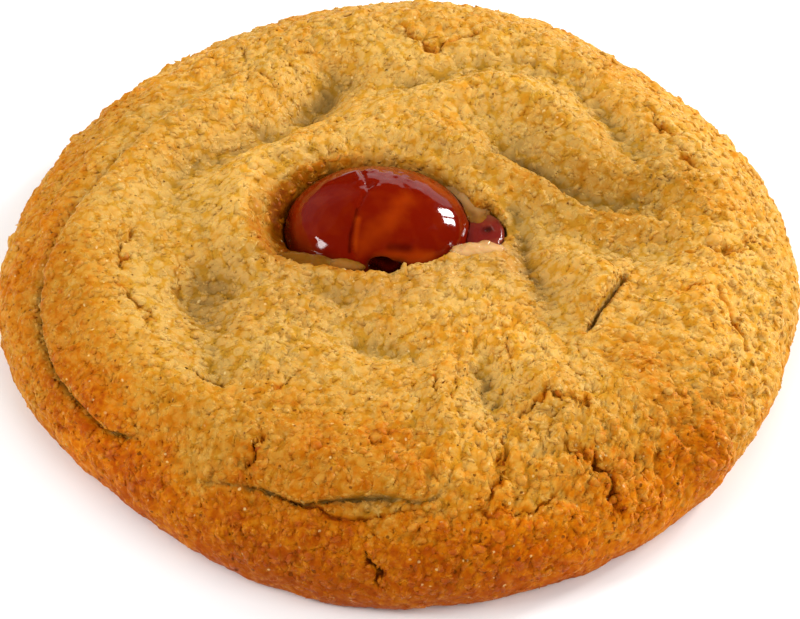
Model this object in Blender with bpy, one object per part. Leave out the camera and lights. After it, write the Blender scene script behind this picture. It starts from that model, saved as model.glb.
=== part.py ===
"""Bakewell tart cookie: a thick soft round with a glace cherry sunk in it and a bead of jam.

The dough is one round sheet, laid out from its centre along the profile: flat top, upper
roll, widest line, lower roll, base. Swells, folds and cracks are placed on that sheet, so
they run over the edge without stretching. +Z is up, the base rests on Z = 0 and the origin
is the centre of the base. Lengths here are millimetres; MM turns them into metres as the
vertices are placed.
"""

import math

import bmesh
import bpy
import numpy as np
from mathutils import Vector, noise

MM = 0.001

# Dough: outline and profile
RIM_RADIUS = 47.8
OUTLINE_WAVES = ((2, 0.25, -116.0), (3, 0.41, 180.0), (4, 0.75, 4.0), (6, 0.31, 90.0))
EDGE_TOP = 13.0
WIDEST_AT = 4.2
UPPER_ROLL = 11.0
LOWER_ROLL = 3.0
BASE_TRIM = 0.35
MOUND_RISE = 2.4
MOUND_ENDS = (35.5, 44.5)
PROFILE_STEPS = 40

# Dough: the hollow that holds the cherry, its rim counter-clockwise as sheet positions
HOLLOW_RIM = ((12.3, -0.8, 1), (9.7, 3.9, 1), (5, 8.3, 0.8), (-0.5, 10.2, 0.5),
              (-6.5, 10.4, 0.5), (-12, 7.6, 0.8), (-16, 3, 1), (-17, -2.2, 1),
              (-14.2, -6.3, 0.7), (-8.5, -7, 0.3), (-1.5, -7.9, 0.1), (4.5, -6, 0.3),
              (10.6, -5, 0.8), (12.3, -0.8, 1))
HOLLOW_DIP = 2.4
HOLLOW_SLOPE = (-1.2, 2.8)
WELL_WALL = (1.10, 0.92)
WELL_DEPTH = 0.7
NOTCH = (0.5, 1.3, ((-1.2, -9.6, 0.3), (-1.5, -8.2, 1), (-1.8, -6.6, 1)))

# Cherry and jam
CHERRY_AT = (-2.8, 1.6, 12.3)
CHERRY_HALF = (11.3, 9.1, 6.4)
CHERRY_TAPER = 0.12
CREASE_AT = -0.2
CREASE_DEPTH = 0.07
CREASE_WIDTH = 0.07
JAM_AT = (10.2, 0.5, 11.9)
JAM_HALF = (2.9, 3.7, 1.8)
CLEARANCE = 0.4

# Mesh fineness
SHEET_CELLS = 200
DOUGH_KEPT = 0.105
CHERRY_LEVEL = 4
JAM_LEVEL = 3
UNEVEN = 0.22
UNEVEN_PITCH = 6.5

# Swells and hollows: height, width, then a path of sheet positions with a strength at each
SWELLS = (
    (1.6, 4.0, ((-14, 27, 0.5), (-24, 19, 1), (-31, 11, 1.2), (-35, 0, 0.9), (-36, -13, 1),
                (-32, -25, 0.8), (-24, -31, 0.3))),
    (-2.6, 2.7, ((-7, 27, 0.8), (-12, 22.5, 1), (-17, 16.4, 1), (-21.5, 13.6, 0.9),
                 (-26.5, 9.6, 0.7), (-28.5, 3, 0.3))),
    (-2.3, 3.0, ((-9.6, 27.6, 1), (-10.8, 21.8, 1))),
    (-0.9, 2.6, ((-19, 30.5, 0.5), (-25, 25, 1), (-31, 18, 1), (-36.5, 8, 1), (-39.5, -1, 0.6))),
    (2.3, 2.8, ((-18.5, -4, 0.9), (-19, 4, 1), (-17, 10, 1), (-5, 15, 0.6), (5, 14.5, 0.7),
                (12, 10, 0.6))),
    (0.6, 2.4, ((-2, -13, 0.3), (2, -12.5, 0.7), (8, -10, 1), (12, -6, 0.4))),
    (-1.7, 2.4, ((-11, -10, 0.8), (-7, -12, 1))),
    (2.5, 3.0, ((-2, 19.5, 0.3), (4.6, 20.7, 0.8), (11, 22.4, 1.1), (16, 21.4, 1.1),
                (19.6, 18.6, 0.7), (23, 14, 0.1))),
    (-1.4, 2.4, ((-6.5, 22.3, 0.2), (-2.8, 24.3, 0.8), (3.4, 25.6, 1), (9.6, 27.6, 0.8),
                 (17.3, 27.8, 0.8), (22, 25, 1), (25.5, 20, 1.2), (28.5, 13, 1.1))),
    (-1.7, 2.2, ((13.4, 3, 1), (14.4, -4, 1), (15.4, -7, 1), (17, -11, 0.6), (17.4, -16, 0.3))),
    (2.6, 2.4, ((20.5, -7.5, 0.9), (23.5, -10, 1), (22, -13.5, 0.8))),
    (-2.8, 2.5, ((12.5, 13, 0.6), (18.6, 9.2, 0.9), (23.4, 6, 1), (28, 4.9, 0.9),
                 (32.5, 3.4, 0.3))),
    (-2.2, 4.0, ((17, 0, 0.9), (25, -2.5, 1), (31, -4, 0.8))),
    (1.4, 2.8, ((16, -24, 0.8), (18, -28, 1))),
    (-3.1, 3.9, ((-22, -10, 0.9), (-23.6, -12, 1), (-23, -14, 0.9))),
    (-1.7, 3.4, ((-23, -21, 0.8), (-22, -25, 1))),
    (-1.8, 2.2, ((9, -22, 0.6), (9.8, -26, 1), (10.6, -30, 0.5))),
    (-2.1, 2.5, ((-8, -17.5, 0.5), (-4, -19, 1), (2, -21, 0.8))),
    (0.7, 3.2, ((5, -13, 0.7), (11, -15, 1), (13, -19, 0.8))),
    (0.8, 3.2, ((34, -8, 0.7), (36, -14, 1), (37, -22, 1), (38, -32, 1))),
    (0.6, 3.2, ((-16, -34, 0.5), (-6, -37, 0.8), (2, -36, 0.8))),
    (1.7, 1.9, ((4, -26, 0.7), (4.6, -31, 1), (5.5, -35, 0.6))),
)

# Folds: the mass on the left of the path laps over the right. Lift, depth, width, lap, path
FOLDS = (
    (1.1, 1.9, 0.9, 0.7, ((-21, 29, 0.05), (-29.5, 18.7, 0.12), (-35.7, 6, 0.25),
                          (-40, -3, 0.65), (-41.5, -11.5, 1), (-40.7, -20, 1),
                          (-36.5, -28.2, 1), (-33.8, -30.8, 0.7), (-30.5, -32.3, 0))),
    (0.8, 1.4, 0.7, 0.4, ((-25.5, -38, 0), (-20.3, -38.8, 0.6), (-16, -39.5, 0.8),
                          (-11.3, -41.2, 0.9), (-8.5, -40.9, 1), (-2.3, -40.5, 1),
                          (2.4, -41.1, 0.7), (5.8, -39, 0))),
    (0.8, 1.3, 0.8, 0.3, ((32.5, 1.2, 0), (29, 2.4, 0.5), (24.9, 2.9, 0.8), (21.2, 4.6, 1),
                          (18.5, 7.3, 1), (15.8, 10.6, 0.8), (12.3, 12.6, 0.35),
                          (7.8, 12, 0))),
    (0.6, 1.9, 0.6, 0.2, ((20.6, -19.3, 0), (22.5, -15.8, 1), (24, -13.3, 1),
                          (25.9, -10.1, 0.9), (26.3, -7.6, 0))),
)
FOLD_REACH = 3.0

# Cracks: depth, half width, path
CRACKS = (
    (0.9, 0.55, ((-14, -40.4, 0.3), (-9, -41.9, 1), (-6.8, -43, 1), (-0.3, -42.2, 0.5))),
    (0.9, 0.50, ((8, -42.3, 0.3), (14.3, -41.9, 1), (17.9, -38.6, 0.2))),
    (1.2, 0.60, ((-0.4, 35.6, 0.3), (3.8, 30, 1), (7.8, 32.7, 1.1), (11.2, 33.7, 0.2))),
    (1.2, 0.55, ((37.3, -10.8, 0.3), (39.9, -15.3, 1), (41.2, -17.5, 0.3))),
    (1.1, 0.55, ((12.8, -31, 0.3), (17.3, -28.2, 1), (22.3, -27.2, 0.3))),
    (1.8, 0.65, ((18, -34, 0.3), (22.2, -35.7, 0.8), (23.2, -36.9, 1), (25.5, -41.2, 0.2))),
    (1.1, 0.55, ((11.5, -34.3, 0.6), (10.8, -38.6, 1), (9.2, -40.6, 0.4))),
    (1.4, 0.65, ((-3.6, -47.6, 0.8), (-2.5, -50.4, 0.8))),
)

LOOKS = {
    "cookie": ((0.60, 0.33, 0.11), 0.75),
    "cherry": ((0.30, 0.015, 0.012), 0.12),
    "jam": ((0.16, 0.01, 0.03), 0.15),
}


def smooth(x, start, end):
    """Ease from 0 at start to 1 at end."""
    t = np.clip((x - start) / (end - start), 0.0, 1.0)
    return t * t * (3.0 - 2.0 * t)


def profile():
    """Distance run along the dough's profile, and the radius and height there."""
    points = [(0.0, EDGE_TOP)]
    for step in range(PROFILE_STEPS + 1):
        turn = math.radians(90.0 * step / PROFILE_STEPS)
        points.append((RIM_RADIUS - UPPER_ROLL * (1.0 - math.sin(turn)),
                       WIDEST_AT + (EDGE_TOP - WIDEST_AT) * math.cos(turn)))
    for step in range(1, PROFILE_STEPS + 1):
        turn = math.radians(90.0 * step / PROFILE_STEPS)
        points.append((RIM_RADIUS - LOWER_ROLL * (1.0 - math.cos(turn)),
                       WIDEST_AT - (WIDEST_AT + BASE_TRIM) * math.sin(turn)))
    points = np.array(points)
    run = np.concatenate([[0.0], np.cumsum(np.hypot(*np.diff(points, axis=0).T))])
    return run, points[:, 0], points[:, 1]


def curve_through(path, steps=6):
    """A smooth curve through the path's points, carrying the strength along."""
    ends = np.array(path, dtype=float)
    knots = np.vstack([2 * ends[0] - ends[1], ends, 2 * ends[-1] - ends[-2]])
    curve = []
    for a, b, c, d in zip(knots[:-3], knots[1:-2], knots[2:-1], knots[3:]):
        for t in np.arange(steps) / steps:
            curve.append(0.5 * (2 * b + (c - a) * t + (2 * a - 5 * b + 4 * c - d) * t * t
                                + (3 * b - a - 3 * c + d) * t ** 3))
    curve.append(ends[-1])
    curve = np.array(curve)
    curve[:, 2] = np.clip(curve[:, 2], 0.0, None)
    return curve


def across(spots, path, reach):
    """Signed distance to a path (left is positive), its strength and its left-hand side.

    Spots further than reach from the path come back on its right, with no strength.
    """
    curve = curve_through(path)
    away = np.full(len(spots), float(reach))
    side = -np.ones(len(spots))
    strength = np.zeros(len(spots))
    left = np.zeros((len(spots), 2))
    near = np.where(((spots > curve[:, :2].min(0) - reach)
                     & (spots < curve[:, :2].max(0) + reach)).all(1))[0]
    for start, end in zip(curve[:-1], curve[1:]):
        step = end[:2] - start[:2]
        length = math.hypot(*step)
        unit = step / length
        normal = np.array((-unit[1], unit[0]))
        offset = spots[near] - start[:2]
        t = np.clip(offset @ unit / length, 0.0, 1.0)
        gap = np.hypot(*(offset - t[:, None] * step).T)
        closer = gap < away[near]
        hit = near[closer]
        away[hit] = gap[closer]
        side[hit] = np.where(offset[closer] @ normal >= 0.0, 1.0, -1.0)
        strength[hit] = start[2] + t[closer] * (end[2] - start[2])
        left[hit] = normal
    return away * side, strength, left


def relief(spots):
    """Height above the plain profile, and the sideways shift, at each sheet position."""
    run = np.hypot(*spots.T)
    height = MOUND_RISE * (1.0 - smooth(run, *MOUND_ENDS))
    shift = np.zeros_like(spots)
    for rise, width, path in SWELLS:
        gap, strength, _ = across(spots, path, 3.2 * width)
        height += rise * strength * np.exp(-(gap / width) ** 2)
    for lift, depth, width, lap, path in FOLDS:
        gap, strength, left = across(spots, path, 12.0)
        over = np.clip(gap, 0.0, None)
        lip = smooth(gap, 0.0, 1.3 * width)
        height += strength * lift * lip * np.exp(-0.5 * (over / FOLD_REACH) ** 2)
        height -= strength * depth * np.exp(-(gap / width) ** 2)
        height -= strength * 0.25 * depth * np.where(gap < 0.0, np.exp(gap / 1.6), 0.0)
        spill = strength * lap * lip * np.exp(-(over / (2.0 * width + 1.0)) ** 2)
        shift -= left * spill[:, None]
    for depth, width, path in CRACKS:
        gap, strength, _ = across(spots, path, 4.0 * width)
        height -= depth * strength * np.exp(-np.abs(gap / width) ** 2.2)
    depth, width, path = NOTCH
    gap, strength, _ = across(spots, path, 4.0 * width)
    height -= depth * strength * np.exp(-(gap / width) ** 2)
    unevenness = [noise.noise(Vector((x, y, 0.7)) / UNEVEN_PITCH) for x, y in spots]
    return height + UNEVEN * np.array(unevenness), shift


def waves(angle, terms):
    """Sum of cosine waves (count, size, phase in degrees) round a circle."""
    return sum(size * np.cos(count * angle - math.radians(phase))
               for count, size, phase in terms)


def dough_surface(spots):
    """Place sheet positions in space: profile, outline, relief and the cherry's hollow."""
    run, radius, level = profile()
    angle = np.arctan2(spots[:, 1], spots[:, 0])
    along = np.hypot(*spots.T)
    outline = 1.0 + waves(angle, OUTLINE_WAVES) / RIM_RADIUS
    flat = np.interp(along, run, radius) * outline
    lean = np.gradient(np.interp(np.arange(0.0, run[-1] + 0.5, 0.5), run, radius), 0.5)
    drop = np.gradient(np.interp(np.arange(0.0, run[-1] + 0.5, 0.5), run, level), 0.5)
    steps = np.arange(len(lean)) * 0.5
    lean, drop = np.interp(along, steps, lean), np.interp(along, steps, drop)
    size = np.hypot(lean, drop)
    lean, drop = lean / size, drop / size
    cos, sin = np.cos(angle), np.sin(angle)
    outward = np.stack([lean * cos, lean * sin, drop], 1)
    around = np.stack([-sin, cos, np.zeros_like(cos)], 1)
    normal = np.stack([-drop * cos, -drop * sin, lean], 1)
    height, shift = relief(spots)
    points = np.stack([flat * cos, flat * sin, np.interp(along, run, level)], 1)
    points += normal * height[:, None]
    points += outward * (shift[:, 0] * cos + shift[:, 1] * sin)[:, None]
    points += around * (shift[:, 1] * cos - shift[:, 0] * sin)[:, None]
    gap, strength, _ = across(spots, HOLLOW_RIM, 12.0)
    points[:, 2] -= HOLLOW_DIP * strength * smooth(gap, *HOLLOW_SLOPE)
    press_well(points, CHERRY_AT, CHERRY_HALF)
    press_well(points, JAM_AT, JAM_HALF)
    return points


def press_well(points, centre, half):
    """Lower the dough close round a ball, so that nothing is left over the ball's room."""
    away = np.hypot((points[:, 0] - centre[0]) / half[0], (points[:, 1] - centre[1]) / half[1])
    floor = centre[2] - WELL_DEPTH * half[2]
    sunk = points[:, 2] + smooth(away, *WELL_WALL) * (floor - points[:, 2])
    points[:, 2] = np.minimum(points[:, 2], sunk)


def material(name):
    """Principled material with the part's own colour and roughness."""
    colour, roughness = LOOKS[name]
    made = bpy.data.materials.new(name)
    made.use_nodes = True
    shader = made.node_tree.nodes["Principled BSDF"]
    shader.inputs["Base Color"].default_value = (*colour, 1.0)
    shader.inputs["Roughness"].default_value = roughness
    return made


def add_object(bm, name, group):
    """Turn a bmesh into a smooth-shaded object with its own material."""
    mesh = bpy.data.meshes.new(name)
    bm.to_mesh(mesh)
    bm.free()
    mesh.shade_smooth()
    made = bpy.data.objects.new(name, mesh)
    group.objects.link(made)
    return made


def add_dough(group, cutters):
    """The baked round: a grid drawn into a disc, shaped, closed below, trimmed and hollowed."""
    bm = bmesh.new()
    bmesh.ops.create_grid(bm, x_segments=SHEET_CELLS, y_segments=SHEET_CELLS, size=1.0)
    spots = disc_from_square(np.array([vert.co[:2] for vert in bm.verts])) * profile()[0][-1]
    for vert, point in zip(bm.verts, dough_surface(spots)):
        vert.co = Vector(point) * MM
    bmesh.ops.edgeloop_fill(bm, edges=[edge for edge in bm.edges if edge.is_boundary])
    bmesh.ops.recalc_face_normals(bm, faces=bm.faces)
    dough = add_object(bm, "cookie", group)
    dough.data.materials.append(material("cookie"))
    thin = dough.modifiers.new("thin", "DECIMATE")
    thin.ratio = DOUGH_KEPT
    for cutter in (base_cutter(cutters),
                   add_object(cherry_ball(CLEARANCE), "cherry_room", cutters),
                   add_object(jam_ball(CLEARANCE), "jam_room", cutters)):
        cutter.hide_render = True
        cutter.display_type = "WIRE"
        cut = dough.modifiers.new(cutter.name, "BOOLEAN")
        cut.operation = "DIFFERENCE"
        cut.solver = "EXACT"
        cut.object = cutter


def disc_from_square(grid):
    """Draw the points of a two-unit square into the unit disc, square rings into circles."""
    x, y = grid.T
    wide = np.abs(x) >= np.abs(y)
    major = np.where(wide, x, y)
    minor = np.where(wide, y, x)
    ratio = np.divide(minor, major, out=np.zeros_like(minor), where=np.abs(major) > 1e-9)
    angle = np.where(wide, math.pi / 4 * ratio, math.pi / 2 - math.pi / 4 * ratio)
    return np.stack([major * np.cos(angle), major * np.sin(angle)], 1)


def base_cutter(cutters):
    """A slab below the resting plane that trims the dough flat."""
    depth = 10.0
    bm = bmesh.new()
    bmesh.ops.create_cube(bm, size=1.0)
    bmesh.ops.scale(bm, verts=bm.verts, vec=Vector((3 * RIM_RADIUS, 3 * RIM_RADIUS, depth)) * MM)
    bmesh.ops.translate(bm, verts=bm.verts, vec=Vector((0.0, 0.0, -depth / 2)) * MM)
    return add_object(bm, "base_trim", cutters)


def cherry_ball(grown=0.0):
    """The glace cherry: a squat ball, lower to the right, parted by one crease over its top."""
    bm = bmesh.new()
    bmesh.ops.create_icosphere(bm, subdivisions=CHERRY_LEVEL, radius=1.0)
    for vert in bm.verts:
        x, y, z = vert.co
        crease = CREASE_DEPTH * math.exp(-((x - CREASE_AT) / CREASE_WIDTH) ** 2)
        size = 1.0 - crease * float(smooth(z - y, 0.0, 0.8))
        size -= CHERRY_TAPER * max(z, 0.0) * max(x, 0.0)
        vert.co = Vector([at + (size * half + grown) * way
                          for at, half, way in zip(CHERRY_AT, CHERRY_HALF, (x, y, z))]) * MM
    return bm


def jam_ball(grown=0.0):
    """The bead of jam between the cherry and the side of its hollow, kept clear of the cherry."""
    bm = bmesh.new()
    bmesh.ops.create_icosphere(bm, subdivisions=JAM_LEVEL, radius=1.0)
    centre = np.array(CHERRY_AT)
    room = np.array(CHERRY_HALF) + CLEARANCE
    for vert in bm.verts:
        point = np.array(JAM_AT) + (np.array(JAM_HALF) + grown) * np.array(vert.co)
        offset = (point - centre) / room
        size = np.linalg.norm(offset)
        way = offset / size
        reach = 1.0 - CHERRY_TAPER * max(way[2], 0.0) * max(way[0], 0.0)
        if size < reach:
            point = centre + reach * way * room
        vert.co = Vector(point) * MM
    return bm


def main():
    """Empty the scene and build the cookie, its cherry and its jam."""
    for old in list(bpy.data.objects):
        bpy.data.objects.remove(old, do_unlink=True)
    group = bpy.data.collections.new("bakewell_tart_cookie")
    cutters = bpy.data.collections.new("cutters")
    for made in (group, cutters):
        bpy.context.scene.collection.children.link(made)
    add_dough(group, cutters)
    for name, ball in (("cherry", cherry_ball()), ("jam", jam_ball())):
        add_object(ball, name, group).data.materials.append(material(name))


main()
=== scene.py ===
"""Looks of the bakewell tart cookie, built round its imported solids.

The dough is one round sheet, laid out from its centre along its profile: flat top, upper
roll, widest line, lower roll, base. Every swell, fold, crack and browned patch is a mark
drawn on that sheet, so it runs over the edge without stretching. Lengths are millimetres;
MM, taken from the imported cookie's width, turns them into metres as vertices are placed.
"""

from __future__ import annotations

import logging
import math
from dataclasses import dataclass
from enum import Enum
from typing import Any

import bmesh
import bpy
import numpy as np
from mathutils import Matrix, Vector, noise


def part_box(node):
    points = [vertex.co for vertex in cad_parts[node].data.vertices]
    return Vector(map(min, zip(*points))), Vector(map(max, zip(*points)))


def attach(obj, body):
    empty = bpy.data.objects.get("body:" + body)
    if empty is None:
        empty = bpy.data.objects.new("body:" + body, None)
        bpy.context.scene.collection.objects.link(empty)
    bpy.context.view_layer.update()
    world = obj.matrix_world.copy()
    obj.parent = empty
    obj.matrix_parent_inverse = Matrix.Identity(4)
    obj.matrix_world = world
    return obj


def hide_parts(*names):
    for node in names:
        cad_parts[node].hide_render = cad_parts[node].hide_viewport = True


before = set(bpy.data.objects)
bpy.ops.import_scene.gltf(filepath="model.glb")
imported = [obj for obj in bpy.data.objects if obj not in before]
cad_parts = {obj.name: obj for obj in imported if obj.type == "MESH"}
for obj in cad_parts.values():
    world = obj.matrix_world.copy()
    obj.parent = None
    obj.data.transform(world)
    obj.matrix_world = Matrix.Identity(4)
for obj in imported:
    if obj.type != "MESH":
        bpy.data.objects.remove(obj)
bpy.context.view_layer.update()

COOKIE_WIDTH = 96.87
COOKIE_LOW, COOKIE_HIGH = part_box("cookie")
MM = (COOKIE_HIGH.x - COOKIE_LOW.x) / COOKIE_WIDTH
CHERRY_GAP = 0.02

Triple = tuple[float, float, float]
Colour = Triple
Path = tuple[Triple, ...]
Pair = tuple[float, float]

log = logging.getLogger("bakewell_tart_cookie")


class Trait(Enum):
    """What each vertex of the crust knows about itself, read by the crust's finish."""

    BROWNING = "browning"
    # Painted shade in dents, fold grooves, cracks, round the cherry's well and in shade
    # patches, and painted light where it is negative; stored under the name hollow.
    HOLLOW = "hollow"
    DAMP = "damp"
    TINT = "tint"


class Depth(Enum):
    """How light reaches the flesh at each vertex of a wet piece."""

    LIT = "lit"
    SHADE = "shade"


# Small tools -----------------------------------------------------------------------------


def smooth(x: np.ndarray, start: float, end: float) -> np.ndarray:
    """Ease from 0 at start to 1 at end.

    Args:
        x: The values to ease.
        start: Where the easing begins.
        end: Where it is complete; it may lie below start.

    Returns:
        One value from 0 to 1 for each of x.
    """
    t = np.clip((x - start) / (end - start), 0.0, 1.0)
    return t * t * (3.0 - 2.0 * t)


def waves(angle: np.ndarray, terms: Path) -> np.ndarray:
    """Sum cosine waves round a circle.

    Args:
        angle: Angles in radians.
        terms: Count, size and phase in degrees of each wave.

    Returns:
        The waves' sum at each angle.
    """
    return sum(size * np.cos(count * angle - math.radians(phase))
               for count, size, phase in terms)


def unevenness(points: np.ndarray, pitch: float, seed: float) -> np.ndarray:
    """Smooth noise from about -1 to 1.

    Args:
        points: Positions, two or three numbers each.
        pitch: Distance from one bump to the next.
        seed: Picks one pattern out of many.

    Returns:
        The noise at each point.
    """
    away = Vector((seed, 1.7 * seed, 2.3 * seed))
    deep = np.zeros((len(points), 3))
    deep[:, :points.shape[1]] = points / pitch
    return np.array([noise.noise(Vector(point) + away) for point in deep])


def rippled(points: np.ndarray, layers: Path, start: float = 0.0) -> np.ndarray:
    """Add layers of smooth noise to a starting value.

    Args:
        points: Positions, two or three numbers each.
        layers: Height, pitch and seed of each layer.
        start: What the layers are added to.

    Returns:
        The total at each point.
    """
    total = start
    for height, pitch, seed in layers:
        total = total + height * unevenness(points, pitch, seed)
    return total


def packed_grains(points: np.ndarray, pitch: float, seed: float) -> np.ndarray:
    """Rounded grains packed side by side.

    Args:
        points: Sheet positions.
        pitch: Distance from one grain to the next.
        seed: Picks one pattern out of many.

    Returns:
        1 at each grain's middle, falling to 0 in the seams between grains.
    """
    away = Vector((seed, 1.7 * seed, 0.5))
    near = np.array([noise.voronoi(Vector((x, y, 0.0)) / pitch + away)[0][:2]
                     for x, y in points])
    return np.sqrt(np.clip((near[:, 1] - near[:, 0]) * 1.6, 0.0, 1.0))


def averaged(grid: np.ndarray, passes: int) -> np.ndarray:
    """Average each cell of a square grid with its neighbours.

    Args:
        grid: A square array.
        passes: How many times to average; the blur grows with its square root.

    Returns:
        The blurred array.
    """
    for _ in range(passes):
        wide = np.pad(grid, 1, mode="edge")
        grid = (4 * grid + wide[:-2, 1:-1] + wide[2:, 1:-1]
                + wide[1:-1, :-2] + wide[1:-1, 2:]) / 8
    return grid


def push_out(points: np.ndarray, ball: Ball, grown: float) -> None:
    """Move the points inside a ball out onto its surface, straight from its centre.

    Args:
        points: Positions, changed in place.
        ball: The ball, with its taper on the upper right.
        grown: How far it is grown all round.
    """
    middle, room = np.array(ball.centre), np.array(ball.half) + grown
    offset = (points - middle) / room
    size = np.maximum(np.linalg.norm(offset, axis=1), 1e-6)
    way = offset / size[:, None]
    reach = 1.0 - ball.taper * np.clip(way[:, 0], 0, None) * np.clip(way[:, 2], 0, None)
    inside = size < reach
    points[inside] = middle + (way * reach[:, None])[inside] * room


def set_trait(mesh: bpy.types.Mesh, trait: Enum, values: np.ndarray) -> None:
    """Store one number at each vertex under the trait's name."""
    layer = mesh.attributes.new(trait.value, "FLOAT", "POINT")
    layer.data.foreach_set("value", np.asarray(values, dtype=np.float32))


def link_object(name: str, data: bpy.types.ID) -> bpy.types.Object:
    """Link a new object at the origin that shows the data."""
    made = bpy.data.objects.new(name, data)
    bpy.context.scene.collection.objects.link(made)
    return made


def make_object(name: str, bm: bmesh.types.BMesh) -> bpy.types.Object:
    """Turn a bmesh into a smooth-shaded object at the origin.

    Args:
        name: The object's name.
        bm: Its mesh, which is freed.

    Returns:
        The linked object.
    """
    mesh = bpy.data.meshes.new(name)
    bm.to_mesh(mesh)
    bm.free()
    mesh.shade_smooth()
    return link_object(name, mesh)


def unit_ball(level: int) -> tuple[bmesh.types.BMesh, np.ndarray]:
    """A new bmesh with a ball of radius 1, and the directions of its vertices."""
    bm = bmesh.new()
    bmesh.ops.create_icosphere(bm, subdivisions=level, radius=1.0)
    return bm, np.array([vert.co[:] for vert in bm.verts])


def move_to(verts: Any, points: np.ndarray) -> None:
    """Move vertices to points given in millimetres."""
    for vert, point in zip(verts, points):
        vert.co = Vector(point) * MM


# Marks on the dough's sheet --------------------------------------------------------------


@dataclass(frozen=True)
class Mark:
    """Something drawn on the sheet along a smooth line.

    Attributes:
        path: Sheet position and strength at each point of the line.
    """

    path: Path

    def curve(self, steps: int = 6) -> np.ndarray:
        """A smooth curve through the path's points, carrying the strength along."""
        ends = np.array(self.path, dtype=float)
        knots = np.vstack([2 * ends[0] - ends[1], ends, 2 * ends[-1] - ends[-2]])
        points = []
        for a, b, c, d in zip(knots[:-3], knots[1:-2], knots[2:-1], knots[3:]):
            for t in np.arange(steps) / steps:
                points.append(0.5 * (2 * b + (c - a) * t
                                     + (2 * a - 5 * b + 4 * c - d) * t * t
                                     + (3 * b - a - 3 * c + d) * t ** 3))
        points.append(ends[-1])
        curve = np.array(points)
        curve[:, 2] = np.clip(curve[:, 2], 0.0, None)
        return curve

    def across(self, spots: np.ndarray, reach: float
               ) -> tuple[np.ndarray, np.ndarray, np.ndarray]:
        """How each spot lies to the line.

        Args:
            spots: Sheet positions.
            reach: Spots further off than this count as that far to the right.

        Returns:
            Signed distance (left is positive), the line's strength at its nearest point,
            and its left-hand direction there.
        """
        curve = self.curve()
        away = np.full(len(spots), float(reach))
        side = -np.ones(len(spots))
        strength = np.zeros(len(spots))
        left = np.zeros((len(spots), 2))
        near = np.where(((spots > curve[:, :2].min(0) - reach)
                         & (spots < curve[:, :2].max(0) + reach)).all(1))[0]
        for start, end in zip(curve[:-1], curve[1:]):
            step = end[:2] - start[:2]
            length = math.hypot(*step)
            unit = step / length
            normal = np.array((-unit[1], unit[0]))
            offset = spots[near] - start[:2]
            t = np.clip(offset @ unit / length, 0.0, 1.0)
            gap = np.hypot(*(offset - t[:, None] * step).T)
            closer = gap < away[near]
            hit = near[closer]
            away[hit] = gap[closer]
            side[hit] = np.where(offset[closer] @ normal >= 0.0, 1.0, -1.0)
            strength[hit] = start[2] + t[closer] * (end[2] - start[2])
            left[hit] = normal
        return away * side, strength, left

    def gather(self, spots: np.ndarray, width: float, pull: float) -> np.ndarray:
        """Draw spots closer to the line, so that the mesh is finer there.

        Args:
            spots: Sheet positions.
            width: How far off the pull is felt.
            pull: Share of the distance taken away on the line itself.

        Returns:
            The moved spots.
        """
        gap, strength, left = self.across(spots, 3.0 * width)
        share = pull * np.clip(2.0 * strength, 0.0, 1.0) * np.exp(-(gap / width) ** 2)
        return spots - left * (gap * share)[:, None]


@dataclass(frozen=True)
class Swell(Mark):
    """A soft ridge, or a soft hollow when its rise is negative.

    Attributes:
        rise: Height of its crest.
        width: Distance from the crest at which a third of the height is left.
    """

    rise: float
    width: float

    def height(self, spots: np.ndarray) -> np.ndarray:
        """The swell's height at each spot."""
        gap, strength, _ = self.across(spots, 3.2 * self.width)
        return self.rise * strength * np.exp(-(gap / self.width) ** 2)


@dataclass(frozen=True)
class Fold(Mark):
    """The mass left of the line laps over the mass on its right.

    Attributes:
        lift: How far the lapping lip stands up.
        depth: Depth of the groove below it.
        width: Half width of the groove.
        lap: How far the lip spills sideways over the groove.
        back: How far back the lip's rise reaches.
        reach: How far from the line the fold is felt at all.
    """

    lift: float
    depth: float
    width: float
    lap: float
    back: float = 3.0
    reach: float = 12.0

    def relief(self, spots: np.ndarray) -> tuple[np.ndarray, np.ndarray, np.ndarray]:
        """Height, sideways shift and depth of shade at each spot."""
        gap, strength, left = self.across(spots, self.reach)
        over = np.clip(gap, 0.0, None)
        lip = smooth(gap, 0.0, 1.3 * self.width)
        groove = np.exp(-(gap / self.width) ** 2)
        height = self.lift * lip * np.exp(-0.5 * (over / self.back) ** 2)
        height -= self.depth * groove
        height -= 0.25 * self.depth * np.where(gap < 0.0, np.exp(gap / 1.6), 0.0)
        spill = self.lap * lip * np.exp(-(over / (2.0 * self.width + 1.0)) ** 2)
        return height * strength, -left * (spill * strength)[:, None], groove * strength


@dataclass(frozen=True)
class Crack(Mark):
    """A ragged split in the crust.

    Attributes:
        depth: How deep it goes.
        width: Half width of its opening.
        ragged: How far its edges wander.
    """

    depth: float
    width: float
    ragged: float

    def opening(self, spots: np.ndarray, jitter: np.ndarray) -> np.ndarray:
        """How open the crack is at each spot, from 0 to its strength.

        Args:
            spots: Sheet positions.
            jitter: A small sideways wander for each spot, scaled by ragged.
        """
        gap, strength, _ = self.across(spots + self.ragged * jitter, 5.0 * self.width)
        return strength * np.exp(-np.abs(gap / self.width) ** 2.4)


@dataclass(frozen=True)
class Bake(Mark):
    """A patch of the crust that has more of something, or less when negative.

    Attributes:
        amount: What it adds along its line.
        width: Distance from the line at which a third of the amount is left.
    """

    amount: float
    width: float

    def share(self, spots: np.ndarray) -> np.ndarray:
        """What the patch adds at each spot."""
        gap, strength, _ = self.across(spots, 3.0 * self.width)
        return self.amount * strength * np.exp(-(gap / self.width) ** 2)


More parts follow.
